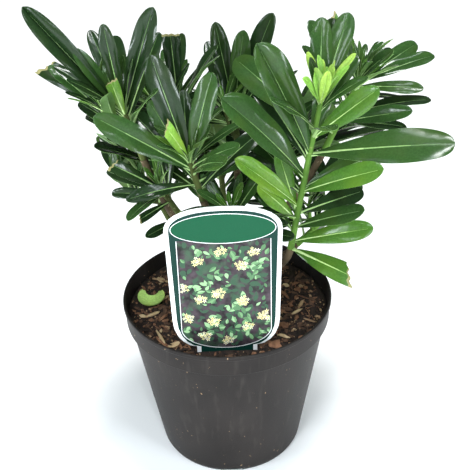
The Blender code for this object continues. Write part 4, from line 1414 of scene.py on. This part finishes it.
def young_leaves(limbs, crown):
    """Small upright leaves round the bud of each shoot and twig."""
    dice = random.Random(SEED + 3)
    for shoot in SHOOTS:
        beside = crown._replace(trees=[tree for tree in crown.trees if tree[0] != shoot.name])
        count, longest, spread, broad, looks = YOUNG_FRESH if shoot.fresh >= FRESH_SHOOT else YOUNG_RIPE
        for line in [stem_points(shoot)] + twigs_of(shoot, limbs):
            first = dice.uniform(0, 360)
            _, axis = along(line, 1)
            for k in range(count):
                opening = spread * (1 - k / count) + dice.uniform(-6, 6)
                heading = opened(axis, first + k * GOLDEN_ANGLE, opening)
                length = (longest - 13 * k / count) * MM * dice.uniform(0.85, 1.15)
                look = dice.choice(looks)
                leaf = fitted_leaf(shoot.name, line, 0.95, heading, length, 0, dice, beside, 20, False, look)
                if leaf:
                    root, way, facing, length, width, bend, twist = leaf.shape
                    shape = (root, way, facing, length, width * broad, bend, twist)
                    crown.leaves.append(leaf._replace(shape=shape))


def make_leaves(leaves, leaf_greens, rib_greens):
    dice = random.Random(SEED + 4)
    for shoot in SHOOTS:
        blades, ribs = Builder(), Builder()
        for leaf in (leaf for leaf in leaves if leaf.shoot == shoot.name):
            tone = tone_of(leaf, shoot.fresh, dice)
            rows, columns = SMALL_GRID if leaf.shape[3] < SMALL_LEAF else BLADE_GRID
            add_blade(blades, leaf, dice, rows, columns, tone)
            add_rib(ribs, leaf, rows, FRESH_RIB_SLOT if tone >= FRESH_TONE else 0)
        node = "leaves_" + shoot.name
        blades.show("blades_" + shoot.name, leaf_greens, node, 65)
        ribs.show("ribs_" + shoot.name, rib_greens, node, 70)


# The blades' materials in the order of TONES, and after them the under faces: name, colour, roughness.
LEAF_GREENS = (
    ("leaf_dark", (0.0115, 0.0285, 0.009), 0.17),
    ("leaf_deep", (0.0245, 0.063, 0.015), 0.17),
    ("leaf_mid", (0.052, 0.134, 0.019), 0.19),
    ("leaf_bright", (0.094, 0.208, 0.026), 0.23),
    ("leaf_lime", (0.2, 0.4, 0.062), 0.3),
    ("leaf_young", (0.29, 0.46, 0.078), 0.34),
    ("under_ripe", (0.1, 0.2, 0.055), 0.5),
    ("under_fresh", (0.22, 0.4, 0.09), 0.5),
)
MARGIN_COLOURS = (("leaf_margin", (0.15, 0.28, 0.08)), ("leaf_torn", (0.26, 0.24, 0.1)))
# From the petiole outwards.
RIB_GREENS = (
    ("ripe", ((0.32, 0.48, 0.18), (0.2, 0.34, 0.11), (0.09, 0.18, 0.05))),
    ("fresh", ((0.5, 0.68, 0.28), (0.38, 0.56, 0.18), (0.22, 0.38, 0.09))),
)


def make_plant():
    limbs = limb_lines()
    crown = Crown(obstacles(limbs), [], [])
    all_leaves(limbs, crown)
    filling_leaves(limbs, crown)
    young_leaves(limbs, crown)
    fresh = bark_material("fresh_stem", (0.06, 0.14, 0.022), (0.13, 0.26, 0.042), (0.2, 0.24, 0.08))
    ripe = bark_material("ripe_stem", (0.036, 0.048, 0.013), (0.085, 0.11, 0.03), (0.17, 0.17, 0.08))
    leaf_greens = [leaf_material(*row) for row in LEAF_GREENS]
    leaf_greens += [vein_material(*row) for row in MARGIN_COLOURS]
    rib_greens = []
    for name, colours in RIB_GREENS:
        rib_greens += [vein_material(f"rib_{name}_{k}", colour) for k, colour in enumerate(colours)]
    make_limbs(bark_material("bark", (0.034, 0.025, 0.015), (0.12, 0.088, 0.05), (0.25, 0.19, 0.12)))
    make_stems(limbs, fresh, ripe)
    make_leaves(crown.leaves, leaf_greens, rib_greens)
    print(f"{len(crown.leaves)} leaves")


# Floor, light and camera


# Strips of light and one broader field, whose reflections lie along the blades: place, size and power.
STRIPS = (
    ("window", (-0.6, -0.45, 0.85), (0.09, 0.6), 3.2),
    ("overhead", (0.2, 0.1, 1.1), (0.09, 0.6), 2.8),
    ("front", (-0.3, -0.9, 1.0), (0.2, 0.6), 6.5),
    ("panel", (0.5, -0.65, 0.95), (0.1, 0.5), 3.5),
    ("sky", (0.0, -0.4, 1.3), (0.5, 0.5), 1.5),
    ("behind", (0.16, -0.85, 0.6), (0.08, 0.4), 1.8),
    ("low_right", (0.65, -0.4, 0.14), (0.07, 0.24), 2.0),
    ("low_front", (0.2, -0.75, 0.14), (0.07, 0.24), 2.0),
    ("low_side", (-0.8, -0.02, 0.14), (0.09, 0.24), 2.2),
    ("low_left", (-0.45, -0.6, 0.14), (0.07, 0.24), 2.0),
)
STRIP_COLOUR = (0.87, 0.95, 1)
LIT_SPOT = Vector((0, 0, 0.17))
# The room's brightness, that of the horizon, and between which heights the one turns into the other.
ROOM_LEVEL = 0.12
HORIZON_LEVEL = 0.84
HORIZON = (0.06, 0.14)
FLOOR_HALF = 4
# The photograph's view: distance and height in metres, tilt and roll in degrees, the rest in its pixels.
CAMERA_BACK = 0.4888
CAMERA_HEIGHT = 0.458
CAMERA_PITCH = 32.05
CAMERA_ROLL = 2.05
PHOTO_PIXELS = 470
FOCAL_PIXELS = 957
SHIFT_PIXELS = 10


def make_floor():
    mesh = ready_mesh("floor", bmesh.ops.create_grid, x_segments=1, y_segments=1, size=FLOOR_HALF)
    paint = Paint("pale_floor", 0.6)
    white = paint.done(paint.shades(paint.noise(2, 2), (1, 1, 1), 0.94, 0.96))
    add_object("floor", mesh, [white])


def aim(light, way):
    light.rotation_euler = way.to_track_quat("-Z", "Y").to_euler()


def make_lights():
    scene = bpy.context.scene
    # A plain view of the colours, so that the floor is as white as the photograph's ground.
    scene.view_settings.view_transform = "Standard"
    scene.world = bpy.data.worlds.new("studio")
    scene.world.use_nodes = True
    tree = scene.world.node_tree
    back = tree.nodes["Background"].inputs
    back["Color"].default_value = (1, 0.995, 0.99, 1)
    # A dim room above a white horizon that carries the floor on.
    way = add_node(tree, "TexCoord", {}).outputs["Generated"]
    height = add_node(tree, "SeparateXYZ", {"Vector": way}).outputs["Z"]
    feed(tree, back["Strength"], map_range(tree, height, *HORIZON, HORIZON_LEVEL, ROOM_LEVEL))
    sun = bpy.data.lights.new("sun", "SUN")
    sun.energy = 2.6
    sun.angle = math.radians(16)
    aim(add_object("sun", sun), Vector((-0.12, -0.1, -1)))
    for name, spot, size, power in STRIPS:
        light = bpy.data.lights.new(name, "AREA")
        light.shape = "RECTANGLE"
        light.size, light.size_y = size
        light.energy = power
        light.color = STRIP_COLOUR
        obj = add_object(name, light)
        obj.location = spot
        aim(obj, LIT_SPOT - obj.location)


def make_camera():
    camera = bpy.data.cameras.new("camera")
    camera.sensor_width = 36
    camera.lens = FOCAL_PIXELS / PHOTO_PIXELS * camera.sensor_width
    camera.shift_x = SHIFT_PIXELS / PHOTO_PIXELS
    camera.clip_start = 0.01
    obj = add_object("camera", camera)
    spot = Matrix.Translation((0, -CAMERA_BACK, CAMERA_HEIGHT))
    pitch = Matrix.Rotation(math.pi / 2 - math.radians(CAMERA_PITCH), 4, "X")
    roll = Matrix.Rotation(-math.radians(CAMERA_ROLL), 4, "Z")
    obj.matrix_world = spot @ pitch @ roll
    bpy.context.scene.camera = obj


def main():
    mixes = [
        crumb_material("mix_black", (0.01, 0.006, 0.005), (0.036, 0.021, 0.014)),
        crumb_material("mix_brown", (0.045, 0.024, 0.015), (0.13, 0.068, 0.04)),
        crumb_material("mix_red", (0.12, 0.055, 0.03), (0.29, 0.14, 0.075)),
        crumb_material("mix_tan", (0.24, 0.14, 0.075), (0.46, 0.3, 0.17)),
        crumb_material("mix_straw", (0.4, 0.27, 0.14), (0.62, 0.46, 0.27)),
    ]
    make_pot(pot_material())
    make_soil(mixes[0])
    make_chips(mixes)
    make_litter(mixes)
    make_label()
    make_plant()
    make_floor()
    make_lights()
    make_camera()


main()
